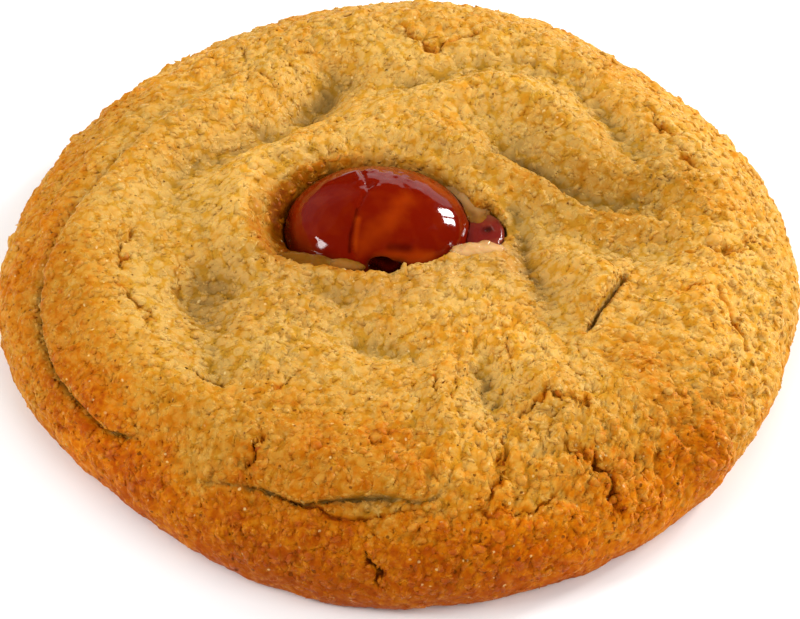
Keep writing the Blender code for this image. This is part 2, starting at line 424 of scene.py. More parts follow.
SWELLS = (
    Swell(((-14, 27, 0.5), (-24, 19, 1), (-31, 11, 1.2), (-35, 0, 0.9), (-36, -13, 1),
           (-32, -25, 0.8), (-24, -31, 0.3)), 1.6, 4.0),
    Swell(((-7, 27, 0.8), (-12, 22.5, 1), (-17, 16.4, 1), (-21.5, 13.6, 0.9),
           (-26.5, 9.6, 0.7), (-28.5, 3, 0.3)), -2.6, 2.7),
    Swell(((-9.6, 27.6, 1), (-10.8, 21.8, 1)), -2.3, 3.0),
    Swell(((-19, 30.5, 0.5), (-25, 25, 1), (-31, 18, 1), (-36.5, 8, 1), (-39.5, -1, 0.6)),
          -0.9, 2.6),
    Swell(((-18.5, -4, 0.9), (-19, 4, 1), (-17, 10, 1), (-5, 15, 0.6), (5, 14.5, 0.7),
           (12, 10, 0.6)), 2.3, 2.8),
    Swell(((-2, -13, 0.3), (2, -12.5, 0.7), (8, -10, 1), (12, -6, 0.4)), 0.6, 2.4),
    Swell(((-11, -10, 0.8), (-7, -12, 1)), -1.7, 2.4),
    Swell(((-2, 19.5, 0.3), (4.6, 20.7, 0.8), (11, 22.4, 1.1), (16, 21.4, 1.1),
           (19.6, 18.6, 0.7), (23, 14, 0.1)), 2.5, 3.0),
    Swell(((-6.5, 22.3, 0.2), (-2.8, 24.3, 0.8), (3.4, 25.6, 1), (9.6, 27.6, 0.8),
           (17.3, 27.8, 0.8), (22, 25, 1), (25.5, 20, 1.2), (28.5, 13, 1.1)), -1.4, 2.4),
    Swell(((13.4, 3, 1), (14.4, -4, 1), (15.4, -7, 1), (17, -11, 0.6),
           (17.4, -16, 0.3)), -1.7, 2.2),
    Swell(((20.5, -7.5, 0.9), (23.5, -10, 1), (22, -13.5, 0.8)), 2.6, 2.4),
    Swell(((12.5, 13, 0.6), (18.6, 9.2, 0.9), (23.4, 6, 1), (28, 4.9, 0.9),
           (32.5, 3.4, 0.3)), -2.8, 2.5),
    Swell(((17, 0, 0.9), (25, -2.5, 1), (31, -4, 0.8)), -2.2, 4.0),
    Swell(((16, -24, 0.8), (18, -28, 1)), 1.4, 2.8),
    Swell(((-22, -10, 0.9), (-23.6, -12, 1), (-23, -14, 0.9)), -3.1, 3.9),
    Swell(((-23, -21, 0.8), (-22, -25, 1)), -1.7, 3.4),
    Swell(((9, -22, 0.6), (9.8, -26, 1), (10.6, -30, 0.5)), -1.8, 2.2),
    Swell(((-8, -17.5, 0.5), (-4, -19, 1), (2, -21, 0.8)), -2.1, 2.5),
    Swell(((5, -13, 0.7), (11, -15, 1), (13, -19, 0.8)), 0.7, 3.2),
    Swell(((34, -8, 0.7), (36, -14, 1), (37, -22, 1), (38, -32, 1)), 0.8, 3.2),
    Swell(((-16, -34, 0.5), (-6, -37, 0.8), (2, -36, 0.8)), 0.6, 3.2),
    Swell(((4, -26, 0.7), (4.6, -31, 1), (5.5, -35, 0.6)), 1.7, 1.9),
)

FOLDS = (
    Fold(((-21, 29, 0.05), (-29.5, 18.7, 0.15), (-35.7, 8, 0.45), (-39.6, -2, 0.85),
          (-41.5, -11.5, 1), (-40.7, -20, 1), (-36.5, -28.2, 1), (-33.8, -30.8, 0.7),
          (-30.5, -32.3, 0)), 1.1, 1.9, 0.9, 1.3),
    Fold(((-25.5, -38, 0), (-20.3, -38.8, 0.6), (-16, -39.5, 0.8), (-11.3, -41.2, 0.9),
          (-8.5, -40.9, 1), (-2.3, -40.5, 1), (2.4, -41.1, 0.7), (5.8, -39, 0)),
         0.8, 0.7, 0.42, 0.7),
    Fold(((32.5, 1.2, 0), (29, 2.4, 0.5), (24.9, 2.9, 0.8), (21.2, 4.6, 1),
          (18.5, 7.3, 1), (15.8, 10.6, 0.8), (12.3, 12.6, 0.35), (7.8, 12, 0)),
         0.8, 1.3, 0.8, 0.6),
    Fold(((20.6, -19.3, 0), (22.5, -15.8, 1), (24, -13.3, 1), (25.9, -10.1, 0.9),
          (26.3, -7.6, 0)), 0.5, 1.9, 0.45, 0.5, 2.0),
)

CRACKS = (
    Crack(((-14, -40.4, 0.3), (-11.3, -41.3, 0.8), (-9, -41.9, 1), (-6.8, -43, 1),
           (-3.4, -42.9, 0.8), (-0.3, -42.2, 0.5), (3, -41.7, 0.2)), 0.64, 0.18, 0.3),
    Crack(((8, -42.3, 0.3), (10.8, -42.1, 1), (14.3, -41.9, 1), (16, -40.6, 0.9),
           (17.9, -38.6, 0.2)), 0.64, 0.18, 0.9),
    Crack(((-0.4, 35.6, 0.3), (1.6, 32.1, 0.8), (3.8, 30.4, 1), (5.9, 31.5, 0.7),
           (7.8, 32.7, 0.8), (11.2, 33.7, 0.2)), 0.72, 0.2, 0.6),
    Crack(((37.3, -10.8, 0.3), (38.4, -13.3, 0.8), (39.9, -15.3, 1), (41.2, -17.5, 0.3)),
          1.04, 0.38, 0.8),
    Crack(((33.6, -4.6, 0.8), (37.7, -3.6, 0.7), (41.2, -2.2, 0.8), (42, 2, 0.3)),
          0.95, 0.28, 1.3),
    Crack(((30.5, 22, 0.3), (31, 20, 0.8), (32.2, 17, 1), (33.6, 14, 0.5), (34.8, 11, 0.9),
           (36, 8, 0.2)), 0.75, 0.22, 1.4),
    Crack(((12.8, -31, 0.3), (15, -29.2, 0.9), (17.3, -28.2, 1.1), (18.8, -28.9, 0.9),
           (21, -29, 1), (22.3, -27.2, 0.3)), 1.12, 0.24, 1.3),
    Crack(((18, -34, 0.4), (20.5, -34.5, 0.8), (22.2, -35.7, 1.2), (23.2, -36.9, 1.5),
           (24.2, -38.9, 0.9), (25.5, -41.2, 0.3)), 1.44, 0.31, 1.3),
    Crack(((11.5, -34.3, 0.6), (10.8, -37.1, 1), (10.8, -38.6, 0.9), (9.2, -40.6, 0.4)),
          0.96, 0.34, 1.3),
    Crack(((3.3, -25.5, 0.6), (4.8, -27.9, 1), (6.6, -30.4, 0.4)), 0.72, 0.18, 1.1),
    Crack(((12.2, -20, 0.6), (12.5, -24.4, 0.5)), 0.64, 0.18, 1.1),
    Crack(((-16.1, -34, 0.8), (-16.7, -36.1, 1), (-17.2, -37.4, 0.7)), 1.04, 0.24, 1.1),
    Crack(((-11.6, -24.2, 0.3), (-13.5, -26.4, 0.8), (-15.2, -28.2, 0.5)), 0.64, 0.18, 0.9),
    Crack(((-24.5, -24.8, 0.6), (-21, -26.1, 0.8)), 0.64, 0.21, 0.9),
    Crack(((-31.3, -1.4, 0.4), (-32.4, -4.9, 0.9), (-32.6, -8.5, 0.6)), 0.72, 0.18, 1.1),
    Crack(((-32.8, -10.8, 0.4), (-31.4, -12.5, 0.9), (-30, -15, 0.8), (-29.6, -17.8, 0.3)),
          0.64, 0.27, 1.1),
    Crack(((-25.7, -4.7, 0.3), (-26.2, -10, 0.8), (-26, -12.8, 0.4)), 0.56, 0.18, 0.9),
    Crack(((-18.4, 26.7, 0.4), (-16.2, 24.6, 0.8)), 0.64, 0.21, 0.9),
    Crack(((-3.6, -47.6, 0.8), (-3, -49.2, 1.2), (-2.5, -50.4, 0.8)), 1.04, 0.27, 1.1),
    Crack(((-43.5, -26.5, 0.6), (-42.2, -27.6, 0.8)), 0.88, 0.36, 0.7),
    Crack(((29.6, -39.4, 0.7), (28.6, -40.2, 0.9)), 0.88, 0.24, 0.9),
    Crack(((26.2, -40, 0.7), (25.6, -40.9, 0.9)), 0.88, 0.24, 0.9),
    Crack(((32, -12.8, 0.5), (33.6, -11.4, 0.9), (35.1, -10.8, 0.5)), 0.64, 0.18, 1.1),
)

# The cherry's juice on the wall to its left: it browns the wall, and among the shade patches
# it is painted shade too
CHERRY_STAIN_AND_SHADE = Bake(((-15.6, 5, 0.4), (-16.8, 1.5, 0.9), (-16.6, -2, 1), (-15.2, -4.8, 1),
                     (-13, -6.2, 0.5)), 0.50, 1.7)

# Where the oven caught the crust
BAKES = (
    Bake(((-36, -34, 0.7), (-22, -46, 1.1), (-6, -50, 1.25), (10, -49, 1.1), (34, -37, 0.85)),
         0.54, 10.0),
    Bake(((-37, 26, 0.6), (-42, 14, 0.7), (-45, 0, 0.8), (-45, -14, 1), (-42, -24, 1),
          (-36, -34, 0.9)), 0.36, 6.5),
    Bake(((-14, -31, 0.8), (-6, -33, 1), (0, -34, 0.9)), 0.32, 5.0),
    Bake(((28, -24, 1), (34, -29, 1)), 0.20, 6.0),
    Bake(((-42, 14, 0.6), (-40, 2, 0.8), (-38, -8, 0.6)), 0.10, 4.0),
    Bake(((-40, -6, 0.7), (-40, -15, 1), (-37, -24, 0.7)), 0.20, 5.0),
    Bake(((-18, -41, 0.8), (-8, -42, 1), (4, -43, 0.6)), 0.14, 5.0),
    Bake(((10, -38, 0.8), (22, -38, 1)), -0.10, 5.0),
    Bake(((5, -11, 0.8), (14, -10, 1)), -0.14, 3.5),
    Bake(((-16, 42, 1), (-14, 38, 0.6)), 0.14, 4.0),
    Bake(((14, 12, 0.7), (22, 8, 1), (30, 4, 0.8)), 0.22, 6.0),
    Bake(((-2, -20, 1), (4, -21, 0.8)), 0.12, 4.0),
    CHERRY_STAIN_AND_SHADE,
    Bake(((-30, -4, 0.7), (-29, -14, 1), (-27, -24, 0.8)), -0.12, 4.5),
    Bake(((-18, 8, 1), (-18, -4, 1)), -0.12, 3.5),
    Bake(((-16, -11, 0.8), (-11, -16, 1)), -0.10, 4.0),
    Bake(((10, 22, 1), (19, 20, 1)), -0.12, 2.6),
    Bake(((21, -8, 0.8), (23, -12, 1)), -0.10, 3.0),
    Bake(((0, 36, 0.8), (1, 30, 1), (-2, 20, 0.8)), -0.10, 3.0),
)

# Painted shade that darkens the crust in patches, or painted light that brightens it when
# negative
PAINTED_SHADE_PATCHES = (
    Bake(((15, 12, 0.8), (22, 8, 1), (32, 8, 0.8)), 0.46, 6.0),
    Bake(((20, 2, 0.8), (30, -1, 0.8)), 0.22, 6.0),
    Bake(((-41, -8, 1), (-40, -22, 0.8)), 0.30, 4.5),
    Bake(((-20, 9, 0.8), (-14, 13, 1), (-8, 12, 0.8)), -0.12, 4.0),
    CHERRY_STAIN_AND_SHADE,
    Bake(((-22, -8, 0.6), (-12, -12, 1), (-4, -14, 0.7)), 0.18, 5.0),
    Bake(((-24, -20, 1), (-14, -22, 0.7)), 0.14, 5.0),
    Bake(((-26, -30, 0.8), (-16, -31, 1), (-8, -29, 0.7)), 0.20, 5.0),
    Bake(((-34, -9, 0.8), (-30, -1, 1), (-26, 4, 0.6)), 0.14, 5.0),
    Bake(((22, 42, 0.8), (34, 34, 1), (43, 22, 0.8)), -0.18, 6.0),
    Bake(((-32, 20, 1), (-28, 21, 1)), 0.16, 4.0),
    Bake(((-22, -40, 0.8), (-8, -42, 1), (6, -42, 0.8)), 0.18, 5.0),
    Bake(((-18, -47, 0.8), (-8, -51, 1), (6, -51, 0.6)), 0.32, 5.0),
    Bake(((-22, -36, 0.8), (-12, -37, 1), (0, -38, 0.7)), 0.18, 4.0),
    Bake(((-20, 12, 0.8), (-19, 0, 1)), -0.28, 3.5),
    Bake(((8, 20, 1), (14, 20, 0.8)), -0.30, 3.5),
    Bake(((6, -18, 0.7), (12, -20, 1)), -0.36, 5.0),
    Bake(((28, -9, 0.8), (33, -11, 1)), -0.16, 4.0),
    Bake(((-6, 44, 0.6), (8, 44, 1), (22, 41, 1)), -0.16, 5.0),
    Bake(((-42, -30, 1), (-36, -33, 0.7)), -0.34, 4.5),
    Bake(((-32, 30, 1), (-26, 33, 0.7)), -0.42, 5.0),
    Bake(((20, -10, 1), (24, -13, 0.7)), -0.22, 3.5),
    Bake(((38, 26, 0.8), (42, 6, 1), (40, -18, 1.2)), -0.26, 7.0),
    Bake(((-22, 22, 0.8), (-10, 20, 1), (-4, 20, 0.7)), -0.14, 5.0),
    Bake(((8, -39, 0.9), (20, -44, 1), (32, -40, 1)), -0.30, 6.0),
)

# Where juice and steam kept the crust damp
DAMP_PATCHES = (
    Bake(((-22, -39.4, 0.5), (-12, -41.8, 1), (-2, -41.8, 1), (4, -40.6, 0.5)), 0.75, 1.3),
    Bake(((-22, -9, 1), (-22.6, -15, 1)), 0.5, 3.5),
    Bake(((-15, 7, 0.5), (-10, 9, 1), (0, 10, 0.7)), 0.5, 3.0),
    Bake(((-14, -9, 0.6), (-4, -11, 1), (4, -9, 1), (11, -6, 0.6)), 0.55, 4.0),
    Bake(((12, -4, 1), (16, -8, 0.8), (18, -14, 0.4)), 0.5, 3.5),
)

# Where the crust broke up into rough crumbs
CRAGGY_PATCHES = (
    Bake(((8, -30, 1), (20, -34, 1), (30, -30, 0.8)), 0.80, 9.0),
    Bake(((-30, -36, 0.7), (-10, -46, 1), (14, -47, 1)), 0.25, 8.0),
    Bake(((38, 18, 0.7), (42, 0, 1), (38, -20, 0.9)), 0.45, 6.0),
    Bake(((-34, 24, 0.8), (-8, 38, 1), (12, 38, 0.6)), 0.30, 6.0),
)


# Finishes --------------------------------------------------------------------------------


class Nodes:
    """A material's or a group's nodes, added and joined one call at a time."""

    def __init__(self, tree: bpy.types.NodeTree) -> None:
        """Keep the tree that nodes are added to."""
        self.tree = tree

    def add(self, kind: str, inputs: dict[str | int, Any] | None = None,
            **settings: Any) -> bpy.types.Node:
        """Add a node.

        Args:
            kind: The node's type, without its ShaderNode prefix.
            inputs: Constants or sockets for its inputs, by name or number.
            **settings: Properties of the node itself.

        Returns:
            The node.
        """
        node = self.tree.nodes.new("ShaderNode" + kind)
        for name, value in settings.items():
            setattr(node, name, value)
        self.feed(node, inputs or {})
        return node

    def feed(self, node: bpy.types.Node, inputs: dict[str | int, Any]) -> None:
        """Set a node's inputs to constants, or join sockets to them."""
        for key, value in inputs.items():
            if isinstance(value, bpy.types.NodeSocket):
                self.tree.links.new(value, node.inputs[key])
            else:
                node.inputs[key].default_value = value

    def maths(self, operation: str, *values: Any, clamp: bool = False
              ) -> bpy.types.NodeSocket:
        """Combine constants or sockets with one Math node and return its result."""
        node = self.add("Math", dict(enumerate(values)), operation=operation,
                        use_clamp=clamp)
        return node.outputs[0]

    def plus(self, value: Any, *parts: tuple[Any, float]) -> bpy.types.NodeSocket:
        """Add parts to a value one after the other, each times its weight."""
        for part, weight in parts:
            scaled = part if weight == 1.0 else self.maths("MULTIPLY", part, weight)
            value = self.maths("ADD", value, scaled)
        return value

    def grey(self, level: Any) -> bpy.types.NodeSocket:
        """A colour with the same level in all its parts."""
        return self.add("CombineColor", {0: level, 1: level, 2: level}).outputs[0]

    def ramp(self, share: Any, stops: tuple[tuple[float, Colour], ...]
             ) -> bpy.types.NodeSocket:
        """Run through colours, each at its place from 0 to 1."""
        node = self.add("ValToRGB", {0: share})
        for place, _ in stops[1:-1]:
            node.color_ramp.elements.new(place)
        for stop, (place, colour) in zip(node.color_ramp.elements, stops):
            stop.position = place
            stop.color = (*colour, 1.0)
        return node.outputs[0]

    def blend(self, share: Any, first: Any, second: Any, mode: str = "MIX"
              ) -> bpy.types.NodeSocket:
        """Mix two colours by a share and return the colour."""
        node = self.add("Mix", {0: share, 6: first, 7: second}, data_type="RGBA",
                        blend_type=mode)
        return node.outputs[2]

    def fit(self, value: Any, low: float, high: float, out_low: float = 0.0,
            out_high: float = 1.0) -> bpy.types.NodeSocket:
        """Carry a value from one range to another, clamped, with an eased ramp."""
        node = self.add("MapRange", {0: value, 1: low, 2: high, 3: out_low, 4: out_high},
                        interpolation_type="SMOOTHSTEP")
        return node.outputs[0]

    def noise(self, where: Any, pitch: float, detail: float = 2.0,
              roughness: float = 0.5) -> bpy.types.NodeSocket:
        """Noise from 0 to 1 whose bumps lie the given pitch apart, in millimetres."""
        node = self.add("TexNoise", {"Vector": where, "Scale": 1.0 / (pitch * MM),
                                     "Detail": detail, "Roughness": roughness})
        return node.outputs[0]

    def cells(self, where: Any, pitch: float) -> bpy.types.NodeSocket:
        """Distance to the nearest of points the given pitch apart, in cell sizes."""
        node = self.add("TexVoronoi", {"Vector": where, "Scale": 1.0 / (pitch * MM)})
        return node.outputs["Distance"]

    def winding(self, where: Any, pitch: float, width: float, away: float
                ) -> bpy.types.NodeSocket:
        """Thin broken lines that wind over the surface.

        Args:
            where: Position socket.
            pitch: Distance between lines, in millimetres.
            width: Half width of a line, as a share of the pitch.
            away: Picks one pattern out of many.

        Returns:
            1 on a line, 0 between lines.
        """
        moved = self.add("VectorMath", {0: where, 1: (away, away, away)},
                         operation="ADD").outputs[0]
        level = self.maths("SUBTRACT", self.noise(moved, pitch, 1.0), 0.5)
        line = self.fit(self.maths("ABSOLUTE", level), 0.0, 0.5 * width, 1.0, 0.0)
        return self.maths("MULTIPLY", line, self.fit(self.noise(where, 1.6 * pitch, 1.0),
                                                     0.50, 0.60))


def new_material(name: str) -> tuple[bpy.types.Material, Nodes, bpy.types.Node]:
    """Start a material.

    Args:
        name: The material's name.

    Returns:
        The material, its nodes and its Principled shader.
    """
    made = bpy.data.materials.new(name)
    made.use_nodes = True
    return made, Nodes(made.node_tree), made.node_tree.nodes["Principled BSDF"]


def new_group(name: str, inputs: dict[str, str], outputs: dict[str, str]
              ) -> tuple[bpy.types.NodeTree, Nodes, bpy.types.Node, bpy.types.Node]:
    """Start a shader node group.

    Args:
        name: The group's name.
        inputs: Kind of each socket it takes.
        outputs: Kind of each socket it puts out.

    Returns:
        The group, its nodes, its input node and its output node.
    """
    group = bpy.data.node_groups.new(name, "ShaderNodeTree")
    for label, kind in inputs.items():
        group.interface.new_socket(label, in_out="INPUT", socket_type=kind)
    for label, kind in outputs.items():
        group.interface.new_socket(label, in_out="OUTPUT", socket_type=kind)
    taken = group.nodes.new("NodeGroupInput")
    given = group.nodes.new("NodeGroupOutput")
    return group, Nodes(group), taken, given


@dataclass(frozen=True)
class CrustTexture:
    """The patterns that the crust's colour, roughness and relief are mixed from.

    Attributes:
        blotch: Broad uneven baking.
        speckle: Fine uneven baking.
        grain: Distance from the middle of a crumb.
        fine: Distance from the middle of a fine grain.
        pit: 1 in a pinhole.
        seam: 1 in a thin split.
        curl: 1 on a thin buttery curl, which is raised, smoother and painted lighter as a
            highlight.
        sugar_glint: 1 on a sugar grain, which is smoother and wears a painted glint.
    """

    blotch: bpy.types.NodeSocket
    speckle: bpy.types.NodeSocket
    grain: bpy.types.NodeSocket
    fine: bpy.types.NodeSocket
    pit: bpy.types.NodeSocket
    seam: bpy.types.NodeSocket
    curl: bpy.types.NodeSocket
    sugar_glint: bpy.types.NodeSocket


@dataclass(frozen=True)
class CrustFinish:
    """Baked dough: pale where it stayed soft, golden on top, brown where the oven caught it.

    Attributes:
        pale: Colour of dough that hardly browned.
        golden: Colour of the top.
        amber: Colour of a well-baked rim.
        brown: Colour of the darkest crust.
        soaked: Colour that damp dough near the cherry leans towards.
        seam_shade: What the seams between crumbs keep of the crust's colour, as warm painted
            shade.
        pit: Painted shade colour inside pinholes and thin splits.
        glint: Painted glint colour on a sugar grain.
        blotch_pitch: Distance between broad patches of baking, and so on for each pattern.
        shake_pitch: Distance between the turns that the patterns are shaken into.
        shake: How far they are shaken, in millimetres.
        line: Half width of a split or a curl, as a share of its pitch.
        roughness: Mean roughness of the dry crust.
    """

    pale: Colour = (0.65, 0.372, 0.086)
    golden: Colour = (0.62, 0.282, 0.032)
    amber: Colour = (0.58, 0.170, 0.002)
    brown: Colour = (0.43, 0.084, 0.0)
    soaked: Colour = (0.48, 0.236, 0.062)
    seam_shade: Colour = (0.87, 0.74, 0.26)
    pit: Colour = (0.16, 0.035, 0.001)
    glint: Colour = (0.90, 0.66, 0.28)
    blotch_pitch: float = 8.0
    speckle_pitch: float = 0.9
    grain_pitch: float = 1.1
    fine_pitch: float = 0.34
    pit_pitch: float = 2.0
    seam_pitch: float = 1.5
    curl_pitch: float = 1.0
    sugar_glint_pitch: float = 1.6
    shake_pitch: float = 1.1
    shake: float = 0.55
    line: float = 0.13
    roughness: float = 0.54

    def group(self) -> bpy.types.NodeTree:
        """The crust's colour, roughness and fine relief, built once for all its pieces."""
        group, nodes, taken, given = new_group(
            "crust_look",
            {trait.value.capitalize(): "NodeSocketFloat" for trait in Trait},
            {"Color": "NodeSocketColor", "Roughness": "NodeSocketFloat",
             "Height": "NodeSocketFloat"})
        look = self.texture(nodes, taken)
        nodes.feed(given, {"Color": self.colour(nodes, taken, look),
                           "Roughness": self.rough(nodes, taken, look),
                           "Height": self.height(nodes, look)})
        return group

    def texture(self, nodes: Nodes, taken: bpy.types.Node) -> CrustTexture:
        """The crust's patterns, shaken so that none shows a regular grid."""
        where = nodes.add("TexCoord").outputs["Object"]
        wander = nodes.add("TexNoise", {"Vector": where,
                                        "Scale": 1.0 / (self.shake_pitch * MM),
                                        "Detail": 1.0}).outputs["Color"]
        bent = nodes.add("VectorMath", {0: wander, 1: (0.5, 0.5, 0.5)},
                         operation="SUBTRACT").outputs[0]
        bent = nodes.add("VectorMath", {0: bent, "Scale": self.shake * MM},
                         operation="SCALE").outputs[0]
        bent = nodes.add("VectorMath", {0: where, 1: bent}, operation="ADD").outputs[0]
        blotch = nodes.noise(where, self.blotch_pitch, 3.0, 0.6)
        hole = nodes.maths("MULTIPLY_ADD", taken.outputs["Browning"], -0.06,
                           nodes.cells(bent, self.pit_pitch))
        sugar_glint_spot = nodes.fit(nodes.cells(bent, self.sugar_glint_pitch), 0.07, 0.14, 1.0, 0.0)
        return CrustTexture(
            blotch=blotch,
            speckle=nodes.noise(where, self.speckle_pitch, 2.0, 0.55),
            grain=nodes.cells(bent, self.grain_pitch),
            fine=nodes.cells(bent, self.fine_pitch),
            pit=nodes.fit(hole, 0.03, 0.08, 1.0, 0.0),
            seam=nodes.winding(bent, self.seam_pitch, self.line, 0.31),
            curl=nodes.winding(bent, self.curl_pitch, self.line, 0.77),
            sugar_glint=nodes.maths("MULTIPLY", sugar_glint_spot, nodes.fit(blotch, 0.42, 0.6)))

    def colour(self, nodes: Nodes, taken: bpy.types.Node, look: CrustTexture
               ) -> bpy.types.NodeSocket:
        """Browned dough, soaked, with painted shade in hollows, seams, pinholes and splits,
        painted highlights on curls and painted glints on sugar grains.
        """
        # Curls are made paler here as part of their painted highlight.
        toast = nodes.plus(taken.outputs["Browning"],
                           (nodes.fit(look.blotch, 0.3, 0.7, -0.14, 0.14), 1.0),
                           (nodes.fit(look.speckle, 0.25, 0.75, -0.15, 0.15), 1.0),
                           (look.curl, -0.12))
        toast = nodes.maths("ADD", toast, taken.outputs["Tint"], clamp=True)
        baked = nodes.ramp(toast, ((0.0, self.pale), (0.35, self.golden),
                                   (0.72, self.amber), (1.0, self.brown)))
        colour = nodes.blend(nodes.maths("MULTIPLY", taken.outputs["Damp"], 0.7), baked,
                             (*self.soaked, 1.0))
        # Painted shade: the hollow trait darkens the colour in grey.
        shade = nodes.maths("MULTIPLY_ADD", taken.outputs["Hollow"], -0.58, 1.0)
        # Painted shade: a little darker towards the edges of the fine grains.
        shade = nodes.maths("MULTIPLY", shade, nodes.fit(look.fine, 0.1, 0.8, 1.02, 0.97))
        # Painted highlight: curls are brightened.
        shade = nodes.maths("MULTIPLY", shade, nodes.fit(look.curl, 0.0, 1.0, 0.98, 1.08))
        colour = nodes.blend(1.0, colour, nodes.grey(shade), "MULTIPLY")
        # Painted shade: the seams between crumbs are darkened in a warm tone.
        seams = nodes.maths("MULTIPLY_ADD", nodes.fit(look.grain, 0.38, 0.85), 0.8,
                            nodes.maths("MULTIPLY", look.speckle, 0.5))
        tone = nodes.blend(nodes.fit(seams, 0.30, 0.95), (1.0, 1.0, 1.0, 1.0),
                           (*self.seam_shade, 1.0))
        colour = nodes.blend(1.0, colour, tone, "MULTIPLY")
        # Painted shade inside pinholes and thin splits.
        dark = nodes.maths("MAXIMUM", nodes.maths("MULTIPLY", look.pit, 0.8),
                           nodes.maths("MULTIPLY", look.seam, 0.12))
        colour = nodes.blend(dark, colour, (*self.pit, 1.0))
        # Painted glint: sugar grains are blended towards a pale glint colour.
        return nodes.blend(nodes.maths("MULTIPLY", look.sugar_glint, 0.55), colour,
                           (*self.glint, 1.0))

    def rough(self, nodes: Nodes, taken: bpy.types.Node, look: CrustTexture
              ) -> bpy.types.NodeSocket:
        """Dry crust, smoother on sugar, on buttery curls and where it is damp."""
        rough = nodes.fit(look.speckle, 0.3, 0.7, self.roughness - 0.12, self.roughness + 0.12)
        return nodes.plus(rough, (look.sugar_glint, -0.25), (look.curl, -0.22),
                          (taken.outputs["Damp"], -0.12))

    def height(self, nodes: Nodes, look: CrustTexture) -> bpy.types.NodeSocket:
        """The relief that is too fine for the mesh, from 0 to about 1."""
        crumb = nodes.maths("MULTIPLY", nodes.fit(look.grain, 0.0, 0.8, 1.0, 0.0), 0.55)
        return nodes.plus(crumb, (nodes.fit(look.fine, 0.0, 0.8, 1.0, 0.0), 0.08),
                          (look.speckle, 0.12), (look.curl, 0.3), (look.seam, -0.35),
                          (look.pit, -1.0))

    def material(self, name: str, group: bpy.types.NodeTree, bump: float, shine: float
                 ) -> bpy.types.Material:
        """A material that wears the crust's look.

        Args:
            name: The material's name.
            group: The shared crust look.
            bump: Height of the fine relief in millimetres.
            shine: Strength of the buttery shine.

        Returns:
            The material.
        """
        made, nodes, shader = new_material(name)
        look = nodes.add("Group")
        look.node_tree = group
        for trait in Trait:
            reader = nodes.add("Attribute", attribute_name=trait.value)
            nodes.feed(look, {trait.value.capitalize(): reader.outputs["Fac"]})
        bumped = nodes.add("Bump", {"Strength": 1.0, "Distance": bump * MM,
                                    "Height": look.outputs["Height"]})
        nodes.feed(shader, {"Base Color": look.outputs["Color"],
                            "Roughness": look.outputs["Roughness"],
                            "Normal": bumped.outputs[0],
                            "Specular IOR Level": shine,
                            "Subsurface Weight": 0.12,
                            "Subsurface Radius": (1.0, 0.45, 0.15),
                            "Subsurface Scale": 0.9 * MM})
        return made


@dataclass(frozen=True)
class Glow:
    """A streak inside a wet piece that light gets to, or that it doesn't.

    Attributes:
        start: One end of the streak, in millimetres.
        end: Its other end.
        reach: How far from the streak its effect fades out.
        amount: Its effect on the streak itself.
    """

    start: Triple
    end: Triple
    reach: float
    amount: float = 1.0

    def share(self, points: np.ndarray) -> np.ndarray:
        """The streak's effect at each point."""
        start = np.array(self.start)
        along = np.array(self.end) - start
        t = np.clip((points - start) @ along / (along @ along), 0.0, 1.0)
        away = np.linalg.norm(points - start - t[:, None] * along, axis=1)
        return self.amount * smooth(away, self.reach, 0.0)


def set_depth(mesh: bpy.types.Mesh, points: np.ndarray, glows: tuple[Glow, ...],
              shades: tuple[Glow, ...]) -> None:
    """Store how light reaches each vertex of a wet piece.

    Args:
        mesh: The piece's mesh.
        points: Its vertices, in millimetres.
        glows: Streaks where light gets through.
        shades: Streaks that little light reaches.
    """
    for depth, streaks in ((Depth.LIT, glows), (Depth.SHADE, shades)):
        shares = [streak.share(points) for streak in streaks]
        set_trait(mesh, depth, np.max([np.zeros(len(points)), *shares], axis=0))


